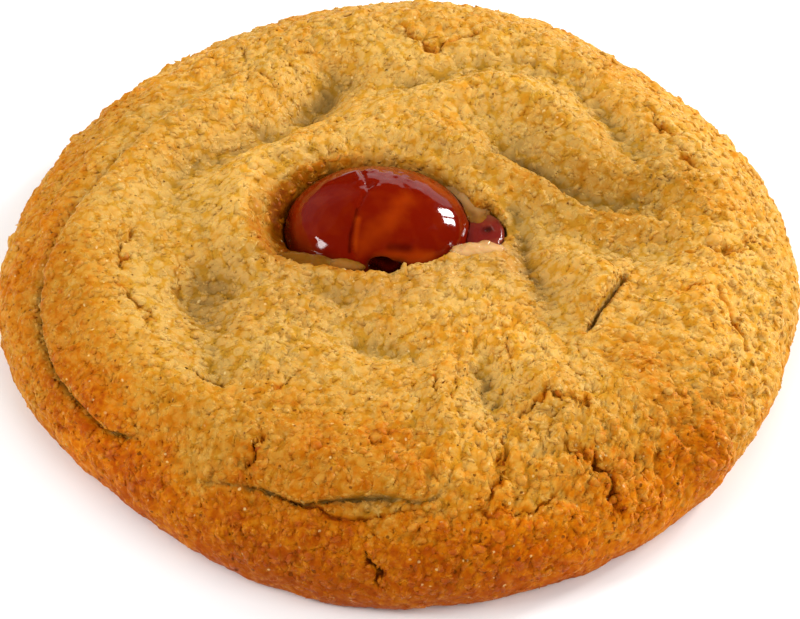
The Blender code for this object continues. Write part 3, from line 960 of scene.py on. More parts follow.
@dataclass(frozen=True)
class WetFinish:
    """Glossy fruit, jam or syrup: a clear wet surface over a deep colour.

    Attributes:
        deep: Main colour.
        lit: Colour where light gets through the flesh.
        ripple: Height of the surface's fine waviness, in millimetres.
        clear: Share of light that passes straight through.
        roughness: Roughness of the wet surface.
    """

    deep: Colour
    lit: Colour
    ripple: float
    clear: float = 0.0
    roughness: float = 0.07

    @staticmethod
    def group() -> bpy.types.NodeTree:
        """Waviness and uneven depth of a sticky surface, shared by every wet piece."""
        group, nodes, taken, given = new_group(
            "sticky_surface",
            {"Roughness": "NodeSocketFloat", "Lit": "NodeSocketFloat"},
            {"Roughness": "NodeSocketFloat", "Height": "NodeSocketFloat",
             "Lit": "NodeSocketFloat"})
        where = nodes.add("TexCoord").outputs["Object"]
        broad = nodes.noise(where, 3.2, 2.0)
        close = nodes.noise(where, 0.9, 3.0, 0.6)
        streak = nodes.fit(nodes.noise(where, 2.6, 2.0, 0.5), 0.3, 0.7, -0.12, 0.12)
        height = nodes.maths("ADD", broad, nodes.maths("MULTIPLY", close, 0.15))
        rough = nodes.maths("ADD", taken.outputs["Roughness"],
                            nodes.fit(close, 0.5, 0.8, 0.0, 0.12))
        lit = nodes.maths("ADD", taken.outputs["Lit"], streak, clamp=True)
        nodes.feed(given, {"Roughness": rough, "Height": height, "Lit": lit})
        return group

    def material(self, name: str, group: bpy.types.NodeTree) -> bpy.types.Material:
        """The wet material.

        Args:
            name: The material's name.
            group: The shared sticky surface.

        Returns:
            The material.
        """
        made, nodes, shader = new_material(name)
        lit, shade = (nodes.add("Attribute", attribute_name=depth.value).outputs["Fac"]
                      for depth in Depth)
        sticky = nodes.add("Group")
        sticky.node_tree = group
        nodes.feed(sticky, {"Roughness": self.roughness, "Lit": lit})
        colour = nodes.blend(sticky.outputs["Lit"], (*self.deep, 1.0), (*self.lit, 1.0))
        dark = tuple(0.1 * part for part in self.deep)
        colour = nodes.blend(shade, colour, (*dark, 1.0))
        bumped = nodes.add("Bump", {"Strength": 1.0, "Distance": self.ripple * MM,
                                    "Height": sticky.outputs["Height"]})
        nodes.feed(shader, {"Base Color": colour,
                            "Roughness": sticky.outputs["Roughness"],
                            "Normal": bumped.outputs[0],
                            "Transmission Weight": self.clear,
                            "IOR": 1.38,
                            "Coat Weight": 0.15,
                            "Coat Roughness": 0.03,
                            "Subsurface Weight": 0.25,
                            "Subsurface Radius": (1.0, 0.25, 0.08),
                            "Subsurface Scale": 2.0 * MM})
        return made


# The cookie ------------------------------------------------------------------------------


@dataclass
class Dough:
    """The baked round with its folded, cracked crust and the hollow for the cherry.

    Attributes:
        rim_radius: Mean radius at the widest level.
        outline_waves: Count, height and turn in degrees of each wave of the outline.
        edge_top: Height of the top's edge before the mound.
        widest_at: Height of the widest level.
        upper_roll: How far the rim rolls in above that level.
        lower_roll: How far it rolls in below.
        foot_drop: How far the profile runs past the floor.
        mound_rise: How much higher the middle is.
        mound_ends: Radii between which the mound falls away.
        hollow_rim: The line round the cherry's hollow.
        hollow_reach: How far from that line the hollow is felt.
        hollow_dip: Depth of the hollow.
        hollow_slope: Where its slope starts and ends, from the line inwards.
        well_depth: How far down a ball its well reaches, as a share of its half height.
        well_gap: Room between a ball and its well.
        stain_and_shade_reach: Where a ball's juice colour and its painted shade stop, and
            where they are full.
        stain_and_shade_lean: How much farther they reach on the left.
        notch: The dent in the hollow's front edge.
        cells: Cells along a side of the sheet.
        base_insets: How much each ring of the underside shrinks.
        fine_blur: Rounds of averaging that show small dents.
        broad_blur: Rounds of averaging that show broad ones.
        foot_browning: Browning of the underside.
        trait_floor: The least that a trait may be.
    """

    rim_radius: float = 47.8
    outline_waves: Path = ((2, 0.25, -116.0), (3, 0.41, 180.0), (4, 0.75, 4.0),
                           (6, 0.31, 90.0))
    edge_top: float = 13.0
    widest_at: float = 4.2
    upper_roll: float = 11.0
    lower_roll: float = 3.0
    foot_drop: float = 0.35
    mound_rise: float = 2.4
    mound_ends: Pair = (35.5, 44.5)
    hollow_rim: Path = ((12.3, -0.8, 1), (9.7, 3.9, 1), (5, 8.3, 0.8), (-0.5, 10.2, 0.5),
                        (-6.5, 10.4, 0.5), (-12, 7.6, 0.8), (-16, 3, 1), (-17, -2.2, 1),
                        (-14.2, -6.3, 0.7), (-8.5, -7, 0.3), (-1.5, -7.9, 0.1),
                        (4.5, -6, 0.3), (10.6, -5, 0.8), (12.3, -0.8, 1))
    hollow_reach: float = 12.0
    hollow_dip: float = 2.4
    hollow_slope: Pair = (-1.2, 2.8)
    well_depth: float = 0.7
    well_gap: float = 0.12
    stain_and_shade_reach: Pair = (1.11, 0.98)
    stain_and_shade_lean: float = 0.12
    notch: Swell = Swell(((-1.2, -9.6, 0.3), (-1.5, -8.2, 1), (-1.8, -6.6, 1)), -0.5, 1.3)
    cells: int = 300
    base_insets: tuple[float, ...] = (0.93, 0.6)
    fine_blur: int = 24
    broad_blur: int = 300
    foot_browning: float = 0.85
    trait_floor: float = -0.35

    def profile(self, steps: int = 40) -> tuple[np.ndarray, np.ndarray, np.ndarray]:
        """Distance run along the dough's profile, and the radius and height there."""
        points = [(0.0, self.edge_top)]
        for step in range(steps + 1):
            turn = math.radians(90.0 * step / steps)
            points.append((self.rim_radius - self.upper_roll * (1.0 - math.sin(turn)),
                           self.widest_at
                           + (self.edge_top - self.widest_at) * math.cos(turn)))
        for step in range(1, steps + 1):
            turn = math.radians(90.0 * step / steps)
            points.append((self.rim_radius - self.lower_roll * (1.0 - math.cos(turn)),
                           self.widest_at
                           - (self.widest_at + self.foot_drop) * math.sin(turn)))
        table = np.array(points)
        run = np.concatenate([[0.0], np.cumsum(np.hypot(*np.diff(table, axis=0).T))])
        return run, table[:, 0], table[:, 1]

    def spots(self, grid: np.ndarray) -> np.ndarray:
        """Draw a two-unit square into the round sheet, finer along folds and cracks.

        Args:
            grid: Points of the square.

        Returns:
            Their sheet positions.
        """
        x, y = grid.T
        wide = np.abs(x) >= np.abs(y)
        major = np.where(wide, x, y)
        minor = np.where(wide, y, x)
        ratio = np.divide(minor, major, out=np.zeros_like(minor),
                          where=np.abs(major) > 1e-9)
        angle = np.where(wide, math.pi / 4 * ratio, math.pi / 2 - math.pi / 4 * ratio)
        spots = np.stack([major * np.cos(angle), major * np.sin(angle)], 1)
        spots *= self.profile()[0][-1]
        spots = Mark(self.hollow_rim).gather(spots, 2.5, 0.35)
        for fold in FOLDS:
            spots = fold.gather(spots, 2.0, 0.5)
        for crack in CRACKS:
            spots = crack.gather(spots, 1.1, 0.62)
        return spots

    def crumbliness(self, spots: np.ndarray) -> np.ndarray:
        """How rough the crust is at each spot, about 1 on average."""
        rough = rippled(spots, ((0.3, 12.0, 4.1),), 0.95)
        for patch in CRAGGY_PATCHES:
            rough += patch.share(spots)
        return np.clip(rough, 0.4, 1.8) * (1.0 - 0.7 * smooth(np.hypot(*spots.T), 49.0, 54.0))

    def relief(self, spots: np.ndarray
               ) -> tuple[np.ndarray, np.ndarray, np.ndarray, np.ndarray]:
        """Height over the plain profile, sideways shift, groove and split at each spot."""
        run = np.hypot(*spots.T)
        height = self.mound_rise * (1.0 - smooth(run, *self.mound_ends))
        shift = np.zeros_like(spots)
        groove, split = np.zeros(len(spots)), np.zeros(len(spots))
        for swell in (*SWELLS, self.notch):
            height += swell.height(spots)
        for fold in FOLDS:
            rise, slide, shade = fold.relief(spots)
            height += rise
            shift += slide
            groove = np.maximum(groove, shade)
        jitter = np.stack([unevenness(spots, 1.3, 8.3), unevenness(spots, 1.3, 17.9)], 1)
        for crack in CRACKS:
            opening = crack.opening(spots, jitter)
            height -= crack.depth * opening
            split = np.maximum(split, opening)
        rough = self.crumbliness(spots)
        height += rippled(spots, ((0.30, 10.0, 2.2), (0.30, 5.0, 5.7)))
        clump = spots + 0.9 * jitter
        height += rough * 0.34 * unevenness(clump, 2.4, 1.4)
        height += rough * 0.58 * (packed_grains(clump, 2.6, 3.3) - 0.6)
        height += rough * 0.36 * (packed_grains(spots + 0.35 * jitter, 1.3, 6.1) - 0.6)
        return height, shift, groove, split

    def place(self, spots: np.ndarray, height: np.ndarray, shift: np.ndarray
              ) -> np.ndarray:
        """Put sheet positions in space, in millimetres.

        Args:
            spots: Sheet positions.
            height: Height over the plain profile at each.
            shift: Sideways shift at each.

        Returns:
            Points of the dough's surface.
        """
        run, radius, level = self.profile()
        angle = np.arctan2(spots[:, 1], spots[:, 0])
        along = np.hypot(*spots.T)
        outline = 1.0 + waves(angle, self.outline_waves) / self.rim_radius
        even = np.arange(0.0, run[-1] + 0.5, 0.5)
        lean = np.interp(along, even, np.gradient(np.interp(even, run, radius), 0.5))
        drop = np.interp(along, even, np.gradient(np.interp(even, run, level), 0.5))
        size = np.hypot(lean, drop)
        lean, drop = lean / size, drop / size
        cos, sin = np.cos(angle), np.sin(angle)
        outward = np.stack([lean * cos, lean * sin, drop], 1)
        around = np.stack([-sin, cos, np.zeros_like(cos)], 1)
        normal = np.stack([-drop * cos, -drop * sin, lean], 1)
        flat = np.interp(along, run, radius) * outline
        points = np.stack([flat * cos, flat * sin, np.interp(along, run, level)], 1)
        points += normal * height[:, None]
        points += outward * (shift[:, 0] * cos + shift[:, 1] * sin)[:, None]
        points += around * (shift[:, 1] * cos - shift[:, 0] * sin)[:, None]
        return points

    def browning(self, spots: np.ndarray) -> np.ndarray:
        """How far the oven browned each spot, from 0 pale to 1 dark."""
        along = np.hypot(*spots.T)
        brown = 0.13 + 0.14 * smooth(along, 30.0, 50.0) + 0.34 * smooth(along, 50.0, 57.0)
        for bake in BAKES:
            brown += bake.share(spots)
        return brown

    def build(self, cherry: Cherry, jam: Jam) -> bpy.types.Object:
        """Shape the sheet, sink the cherry's hollow and close the base.

        Args:
            cherry: What the hollow is pressed round.
            jam: What the hollow's side is pressed round.

        Returns:
            The cookie.
        """
        bm = bmesh.new()
        bmesh.ops.create_grid(bm, x_segments=self.cells, y_segments=self.cells, size=1.0)
        spots = self.spots(np.array([vert.co[:2] for vert in bm.verts]))
        height, shift, groove, split = self.relief(spots)
        points = self.place(spots, height, shift)
        gap, strength, _ = Mark(self.hollow_rim).across(spots, self.hollow_reach)
        dip = strength * smooth(gap, *self.hollow_slope)
        points[:, 2] -= self.hollow_dip * dip
        stain_and_shade = np.maximum(self.press_well(points, cherry), self.press_well(points, jam))
        points[:, 2] = np.maximum(points[:, 2], 0.0)
        move_to(bm.verts, points)
        self.close_base(bm)
        cookie = make_object("cookie_dough", bm)
        near, wide = self.dents(height)
        # hollow is painted shade: dents, fold grooves, cracks and the juice-stained wall are
        # darkened, and the painted shade patches add more darkness or, when negative, painted
        # light.
        hollow = smooth(near, 0.0, 0.7) * 0.58 + smooth(wide, 0.1, 1.6) * 0.7
        hollow += 0.10 * groove + 0.30 * split + 0.80 * stain_and_shade
        hollow += sum(patch.share(spots) for patch in PAINTED_SHADE_PATCHES)
        brown = self.browning(spots) - 0.35 * smooth(wide, 0.0, 1.2) - 0.15 * near
        brown += 0.7 * split + 0.8 * stain_and_shade - 0.25 * groove * (1.0 - np.clip(split, 0, 1))
        damp = sum(patch.share(spots) for patch in DAMP_PATCHES) + 0.8 * dip
        damp *= 1.0 - smooth(brown, 0.3, 0.6)
        self.paint(cookie.data, {Trait.BROWNING: brown, Trait.HOLLOW: hollow,
                                 Trait.DAMP: damp, Trait.TINT: 0 * damp})
        return cookie

    def dents(self, height: np.ndarray) -> tuple[np.ndarray, np.ndarray]:
        """How far each point lies below its surroundings, close by and farther off."""
        grid = height.reshape(self.cells + 1, self.cells + 1)
        fine = averaged(grid, self.fine_blur)
        return (fine - grid).ravel(), (averaged(grid, self.broad_blur) - fine).ravel()

    def paint(self, mesh: bpy.types.Mesh, traits: dict[Trait, np.ndarray]) -> None:
        """Store the traits of the sheet, and plain ones for the underside.

        Args:
            mesh: The dough's mesh, whose first vertices are the sheet's.
            traits: Values of each trait at the sheet's points.
        """
        for trait, values in traits.items():
            below = self.foot_browning if trait is Trait.BROWNING else 0.0
            base = np.full(len(mesh.vertices) - len(values), below)
            set_trait(mesh, trait, np.clip(np.append(values, base), self.trait_floor, 1.0))

    def press_well(self, points: np.ndarray, ball: Ball) -> np.ndarray:
        """Press a ball's well into the hollow, close round the ball.

        Args:
            points: Points of the dough's surface, changed in place.
            ball: What is pressed in.

        Returns:
            How much of the ball's juice has stained each point, from 0 to 1; the same share
            also paints shade on the well's wall.
        """
        middle, half = np.array(ball.centre), np.array(ball.half)
        away = np.hypot(*((points[:, :2] - middle[:2]) / half[:2]).T)
        well = smooth(away, *ball.well_wall)
        floor = middle[2] - self.well_depth * half[2]
        points[:, 2] = np.minimum(points[:, 2],
                                  points[:, 2] + well * (floor - points[:, 2]))
        push_out(points, ball, self.well_gap)
        left = np.clip((middle[0] - points[:, 0]) / half[0], 0.0, 1.0)
        return (0.4 + 0.6 * left) * smooth(away - self.stain_and_shade_lean * left, *self.stain_and_shade_reach)

    def close_base(self, bm: bmesh.types.BMesh) -> None:
        """Fill the underside with shrinking rings and a flat middle."""
        rim = [edge for edge in bm.edges if edge.is_boundary]
        for share in self.base_insets:
            ring = bmesh.ops.extrude_edge_only(bm, edges=rim)["geom"]
            verts = [part for part in ring if isinstance(part, bmesh.types.BMVert)]
            rim = [part for part in ring if isinstance(part, bmesh.types.BMEdge)]
            bmesh.ops.scale(bm, verts=verts, vec=(share, share, 1.0))
        bmesh.ops.edgeloop_fill(bm, edges=rim)
        bmesh.ops.recalc_face_normals(bm, faces=bm.faces)


@dataclass(frozen=True)
class Crust:
    """The dough's surface, read back from its mesh.

    Attributes:
        where: Its points, in millimetres.
        normal: The way the surface faces at each.
        corners: The three points of each of its triangles.
        traits: The traits at each point.
    """

    where: np.ndarray
    normal: np.ndarray
    corners: np.ndarray
    traits: dict[Trait, np.ndarray]

    @classmethod
    def read(cls, mesh: bpy.types.Mesh) -> Crust:
        """Read a mesh that carries the traits.

        Args:
            mesh: The dough's mesh.

        Returns:
            Its surface.
        """
        mesh.calc_loop_triangles()
        count = len(mesh.vertices)
        where, normal = np.empty(3 * count), np.empty(3 * count)
        mesh.vertices.foreach_get("co", where)
        mesh.vertex_normals.foreach_get("vector", normal)
        corners = np.empty(3 * len(mesh.loop_triangles), dtype=np.int32)
        mesh.loop_triangles.foreach_get("vertices", corners)
        traits = {trait: np.empty(count, dtype=np.float32) for trait in Trait}
        for trait, values in traits.items():
            mesh.attributes[trait.value].data.foreach_get("value", values)
        return cls(where.reshape(-1, 3) / MM, normal.reshape(-1, 3),
                   corners.reshape(-1, 3), traits)

    def chances(self) -> np.ndarray:
        """How likely a lump is to sit on each triangle, less in damp places and where painted
        shade is deep.
        """
        a, b, c = (self.where[self.corners[:, k]] for k in range(3))
        area = 0.5 * np.linalg.norm(np.cross(b - a, c - a), axis=1)
        middle = (a + b + c) / 3
        wanted = area * smooth(middle[:, 2], 0.8, 4.5)
        for trait in (Trait.DAMP, Trait.HOLLOW):
            wanted *= 1.0 - 0.9 * smooth(self.traits[trait][self.corners[:, 0]], 0.55, 0.95)
        return wanted / wanted.sum()


@dataclass
class Grains:
    """Small rounded lumps baked into the crust, partly sunk in it.

    Attributes:
        name: The piece's name.
        count: How many lumps.
        radius: Mean radius.
        spread: How unequal the radii are.
        squat: Height of a lump as a share of its width.
        sunk: How far the lump's middle lies below the surface, as a share of its radius.
        toast: Mean browning over the crust it sits on.
        seed: Start of the random draws.
        length: How much longer than wide the lumps are.
        curl: How far a lump's ends bend aside, as a share of its length.
        tint_spread: How unequal their browning is.
    """

    name: str
    count: int
    radius: float
    spread: float
    squat: float
    sunk: float
    toast: float
    seed: int
    length: float = 1.0
    curl: float = 0.0
    tint_spread: float = 0.045

    def build(self, crust: Crust) -> bpy.types.Object:
        """Scatter the lumps over the crust.

        Args:
            crust: The surface that the lumps sit on.

        Returns:
            All the lumps as one mesh.
        """
        rng = np.random.default_rng(self.seed)
        picked = rng.choice(len(crust.corners), self.count, p=crust.chances())
        share = rng.dirichlet((1.0, 1.0, 1.0), self.count)
        tri = crust.corners[picked]
        spot = sum(share[:, k, None] * crust.where[tri[:, k]] for k in range(3))
        up = sum(share[:, k, None] * crust.normal[tri[:, k]] for k in range(3))
        up /= np.linalg.norm(up, axis=1)[:, None]
        bm, ball = unit_ball(1)
        faces = np.array([[vert.index for vert in face.verts] for face in bm.faces])
        bm.free()
        points = self.shape(rng, spot, up, ball)
        rings = (faces[None] + len(ball) * np.arange(self.count)[:, None, None]).reshape(-1, 3)
        crumbs = bpy.data.meshes.new(self.name)
        crumbs.from_pydata((points.reshape(-1, 3) * MM).tolist(), [], rings.tolist())
        crumbs.shade_smooth()
        for trait in Trait:
            values = crust.traits[trait][tri[:, 0]].astype(float)
            if trait is Trait.TINT:
                values = rng.normal(self.toast, self.tint_spread, self.count)
            # Lumps stand out of the dents, so they take half of the crust's painted shade.
            if trait is Trait.HOLLOW:
                values = 0.5 * values
            set_trait(crumbs, trait, np.repeat(values, len(ball)))
        return link_object(self.name, crumbs)

    def shape(self, rng: np.random.Generator, spot: np.ndarray, up: np.ndarray,
              ball: np.ndarray) -> np.ndarray:
        """Give each lump its size, stretch, dents and bend.

        Args:
            rng: Where the random draws come from.
            spot: Point of the surface under each lump.
            up: The way the surface faces there.
            ball: Points of a unit ball.

        Returns:
            The points of every lump.
        """
        radius = self.radius * np.exp(self.spread * rng.standard_normal(self.count))
        stretch = rng.uniform(0.6, 1.5, (self.count, 3))
        side = np.cross(up, rng.standard_normal((self.count, 3)))
        side /= np.linalg.norm(side, axis=1)[:, None]
        cross = np.cross(up, side)
        dent = rng.uniform(0.7, 1.3, (self.count, len(ball), 1))
        local = ball[None] * dent * stretch[:, None, :] * radius[:, None, None]
        local[:, :, 0] *= self.length
        local[:, :, 2] *= self.squat
        bend = self.curl * rng.uniform(-1.0, 1.0, self.count) / (self.length * radius)
        local[:, :, 1] += bend[:, None] * local[:, :, 0] ** 2
        points = (spot[:, None] + local[:, :, 0:1] * side[:, None]
                  + local[:, :, 1:2] * cross[:, None]
                  + (local[:, :, 2:3] - (self.sunk * radius)[:, None, None]) * up[:, None])
        points[:, :, 2] = np.maximum(points[:, :, 2], 0.0)
        return points


@dataclass(frozen=True)
class Wart:
    """A small round bump on a ball, or a dimple when its height is negative.

    Attributes:
        way: Direction from the ball's centre.
        radius: Its radius, as a share of the ball's.
        height: Its height, as a share of the ball's radius.
        flat: How square its edge is; 2 is a soft bell.
    """

    way: Triple
    radius: float
    height: float
    flat: float = 2.0

    def rise(self, ways: np.ndarray) -> np.ndarray:
        """The bump's height in each direction."""
        middle = np.array(self.way) / np.linalg.norm(self.way)
        away = np.linalg.norm(ways - middle, axis=1)
        return self.height * np.exp(-(away / self.radius) ** self.flat)


@dataclass
class Ball:
    """A rounded piece that lies in a well of its own.

    Attributes:
        centre: Its middle.
        half: Half its size along X, Y and Z.
        taper: How much its upper right side is drawn in.
        well_wall: Where its well's wall starts and ends, as shares of its half size.
        warts: Bumps and dimples on it.
        glows: Where light brightens it.
        shades: Where it is darkened.
        level: How finely its mesh is divided.
    """

    centre: Triple
    half: Triple
    taper: float
    well_wall: Pair
    warts: tuple[Wart, ...]
    glows: tuple[Glow, ...]
    shades: tuple[Glow, ...]
    level: int

    def bump(self, size: np.ndarray, ways: np.ndarray) -> None:
        """Add the bumps and dimples to the sizes in each direction."""
        for wart in self.warts:
            size += wart.rise(ways)

    def dress(self, name: str, bm: bmesh.types.BMesh, points: np.ndarray
              ) -> bpy.types.Object:
        """Move the vertices to their points and store what is lit and shaded.

        Args:
            name: The piece's name.
            bm: Its mesh.
            points: Where its vertices go.

        Returns:
            The piece.
        """
        move_to(bm.verts, points)
        made = make_object(name, bm)
        set_depth(made.data, points, self.glows, self.shades)
        return made


@dataclass
class Cherry(Ball):
    """The glace cherry: a squat two-lobed ball parted by a crease over its top."""

    centre: Triple = (-2.8, 1.6, 12.3)
    half: Triple = (11.3, 9.1, 6.4)
    taper: float = 0.12
    crease: Mark = Mark(((-0.26, 0.85, 0.3), (-0.20, 0.5, 0.8), (-0.14, 0.22, 1),
                         (-0.13, 0.04, 1), (-0.18, -0.13, 0.9), (-0.23, -0.36, 0.6),
                         (-0.27, -0.61, 0.5), (-0.27, -0.77, 0.5), (-0.2, -0.9, 0.3)))
    crease_depth: float = 0.016
    crease_width: float = 0.018
    lobe_step: float = 0.018
    well_wall: Pair = (1.06, 0.90)
    warts: tuple[Wart, ...] = (
        Wart((-0.11, 0.16, 0.97), 0.085, -0.045),
        Wart((-0.20, 0.22, 0.95), 0.05, 0.018),
        Wart((-0.03, 0.12, 0.99), 0.05, 0.016),
        Wart((-0.09, 0.53, 0.84), 0.075, 0.022, 4.0),
        Wart((-0.09, 0.53, 0.84), 0.045, -0.016),
        Wart((0.20, 0.42, 0.88), 0.06, 0.014),
        Wart((0.31, 0.36, 0.87), 0.05, 0.012),
        Wart((0.44, 0.15, 0.88), 0.055, 0.012, 3.0),
        Wart((-0.64, -0.52, 0.56), 0.07, 0.010),
        Wart((0.03, -0.92, 0.39), 0.11, -0.45, 6.0),
        Wart((0.13, -0.95, 0.30), 0.12, -0.36, 6.0),
    )
    glows: tuple[Glow, ...] = (
        Glow((0.6, 1.0, 18.2), (-1.6, -2.4, 17.6), 2.3, 0.46),
        Glow((-1.6, -2.4, 17.6), (-4.5, -5.0, 16.6), 2.6, 0.44),
        Glow((-5.2, -2.2, 17.8), (-5.5, -5.6, 16.1), 0.7, 0.70),
        Glow((-2.8, -6.2, 15.4), (3.4, -5.2, 14.6), 1.4, 0.75),
        Glow((2.0, 5.6, 17.0), (6.2, 3.4, 15.0), 1.2, 0.40),
    )
    shades: tuple[Glow, ...] = (
        Glow((-3.0, -6.6, 14.4), (-0.6, -6.7, 14.0), 2.1, 1.6),
        Glow((-1.4, -5.2, 16.2), (0.8, -5.1, 16.0), 0.9, 0.45),
        Glow((-5.3, -0.9, 18.3), (-6.1, -3.9, 17.0), 0.34, 0.70),
        Glow((-6.1, -3.9, 17.0), (-6.2, -5.6, 15.8), 0.34, 0.70),
        Glow((-13.6, 1.6, 13.8), (-13.2, -2.0, 13.6), 2.0, 0.65),
        Glow((-13.2, -2.0, 13.6), (-8.6, -6.0, 14.2), 2.2, 0.50),
    )
    level: int = 7

    def build(self) -> bpy.types.Object:
        """Shape the ball into the fruit."""
        bm, ways = unit_ball(self.level)
        x, y, z = ways.T
        gap, strength, _ = self.crease.across(ways[:, :2], 0.6)
        on_top = smooth(z, 0.0, 0.35) * strength
        size = 1.0 - self.crease_depth * on_top * np.exp(-(gap / self.crease_width) ** 2)
        size += self.lobe_step * on_top * np.where(gap < 0, np.exp(gap / 0.25), 0.0)
        size -= self.lobe_step * on_top * np.where(gap > 0, np.exp(-gap / 0.14), 0.0)
        size -= self.taper * np.clip(z, 0, None) * np.clip(x, 0, None)
        size += rippled(ways, ((0.016, 0.6, 3.0), (0.004, 0.22, 9.0)))
        self.bump(size, ways)
        puckered = Wart((0.15, 0.5, 0.85), 0.32, 0.010).rise(ways)
        size += puckered * unevenness(ways, 0.09, 6.0)
        points = np.array(self.centre) + ways * size[:, None] * np.array(self.half)
        return self.dress("glace_cherry", bm, points)


@dataclass
class Jam(Ball):
    """The bead of jam between the cherry and the side of its hollow."""

    centre: Triple = (9.9, 0.3, 11.9)
    half: Triple = (2.7, 3.7, 1.75)
    taper: float = 0.0
    flatness: float = 1.7
    well_wall: Pair = (1.0, 0.82)
    warts: tuple[Wart, ...] = (
        Wart((0.12, 0.02, 1.0), 0.26, 0.10, 4.0),
        Wart((0.12, 0.02, 1.0), 0.15, -0.14),
        Wart((0.50, -0.55, 0.65), 0.22, 0.06, 4.0),
        Wart((-0.30, 0.60, 0.75), 0.30, -0.07),
        Wart((0.10, 0.75, 0.65), 0.20, 0.06),
    )
    glows: tuple[Glow, ...] = (
        Glow((7.4, 3.8, 13.4), (11.0, 3.2, 13.0), 1.8, 0.9),
        Glow((9.0, -2.8, 13.4), (12.2, -1.6, 13.0), 1.4, 0.6),
    )
    shades: tuple[Glow, ...] = (
        Glow((10.2, 0.3, 13.7), (10.4, 0.4, 13.7), 1.0, 0.9),
    )
    level: int = 6

    def build(self, cherry: Cherry) -> bpy.types.Object:
        """Shape the bead, kept clear of the cherry.

        Args:
            cherry: The fruit that the bead lies against.

        Returns:
            The bead.
        """
        bm, ways = unit_ball(self.level)
        size = rippled(ways, ((0.05, 0.7, 2.0), (0.02, 0.25, 5.0)), 0.97)
        self.bump(size, ways)
        flat = ways.copy()
        flat[:, 2] = np.tanh(self.flatness * ways[:, 2]) / math.tanh(self.flatness)
        points = np.array(self.centre) + flat * size[:, None] * np.array(self.half)
        push_out(points, cherry, CHERRY_GAP)
        return self.dress("jam_bead", bm, points)


@dataclass
class Syrup:
    """Thin pale films of set syrup where the cherry meets the dough.

    Attributes:
        films: Centre, half sizes and turn about Z in degrees of each film.
    """

    films: tuple[tuple[Triple, Triple, float], ...] = (
        ((8.7, -4.1, 14.2), (3.4, 1.4, 1.1), 8.0),
        ((7.8, 5.2, 12.9), (2.6, 4.2, 1.2), 38.0),
        ((-10.8, -5.7, 14.2), (4.8, 1.1, 0.9), -14.0),
        ((-7.0, -6.4, 14.4), (2.6, 0.9, 0.8), 4.0),
    )
    glows: tuple[Glow, ...] = (
        Glow((6.6, -4.6, 15.0), (12.0, -4.2, 15.0), 2.4),
        Glow((6.0, 7.4, 14.8), (9.8, 4.0, 14.6), 2.2, 0.75),
    )
    shades: tuple[Glow, ...] = (
        Glow((-15.0, -5.0, 14.8), (-9.0, -6.4, 14.8), 1.6, 0.35),
        Glow((6.2, 7.2, 14.2), (8.8, 5.6, 14.2), 1.4, 0.25),
    )
    level: int = 5

    def build(self, cherry: Cherry) -> bpy.types.Object:
        """Shape the films and keep them clear of the cherry.

        Args:
            cherry: The fruit that the films hang on.

        Returns:
            All the films as one mesh.
        """
        bm = bmesh.new()
        placed = []
        for index, (centre, half, turn) in enumerate(self.films):
            ball = bmesh.ops.create_icosphere(bm, subdivisions=self.level, radius=1.0)
            ways = np.array([vert.co[:] for vert in ball["verts"]])
            size = rippled(ways * np.array(half),
                           ((0.26, 1.3, 4.0 + index), (0.10, 0.5, 9.0 + index)), 1.0)
            local = ways * size[:, None] * np.array(half)
            cos, sin = math.cos(math.radians(turn)), math.sin(math.radians(turn))
            points = np.array(centre) + np.stack(
                [local[:, 0] * cos - local[:, 1] * sin,
                 local[:, 0] * sin + local[:, 1] * cos, local[:, 2]], 1)
            push_out(points, cherry, CHERRY_GAP)
            move_to(ball["verts"], points)
            placed.append(points)
        made = make_object("syrup_film", bm)
        set_depth(made.data, np.concatenate(placed), self.glows, self.shades)
        return made


# Studio ----------------------------------------------------------------------------------


@dataclass(frozen=True)
class Softbox:
    """A rectangular studio light aimed at the cookie.

    Attributes:
        name: The light's name.
        azimuth: Degrees from behind the cookie (+Y) towards its right (+X).
        elevation: Degrees above the floor.
        distance: Distance from the cookie, in metres.
        size: Width and height, in metres.
        watts: Its power.
        reflected: Whether glossy surfaces mirror it.
    """

    name: str
    azimuth: float
    elevation: float
    distance: float
    size: Pair
    watts: float
    reflected: bool = True

    def build(self) -> None:
        """Place the light."""
        turn, rise = math.radians(self.azimuth), math.radians(self.elevation)
        way = Vector((math.sin(turn) * math.cos(rise), math.cos(turn) * math.cos(rise),
                      math.sin(rise)))
        light = bpy.data.lights.new(self.name, "AREA")
        light.shape = "RECTANGLE"
        light.size, light.size_y = self.size
        light.energy = self.watts
        lamp = link_object(self.name, light)
        lamp.visible_glossy = self.reflected
        lamp.location = way * self.distance
        lamp.rotation_euler = way.to_track_quat("Z", "Y").to_euler()


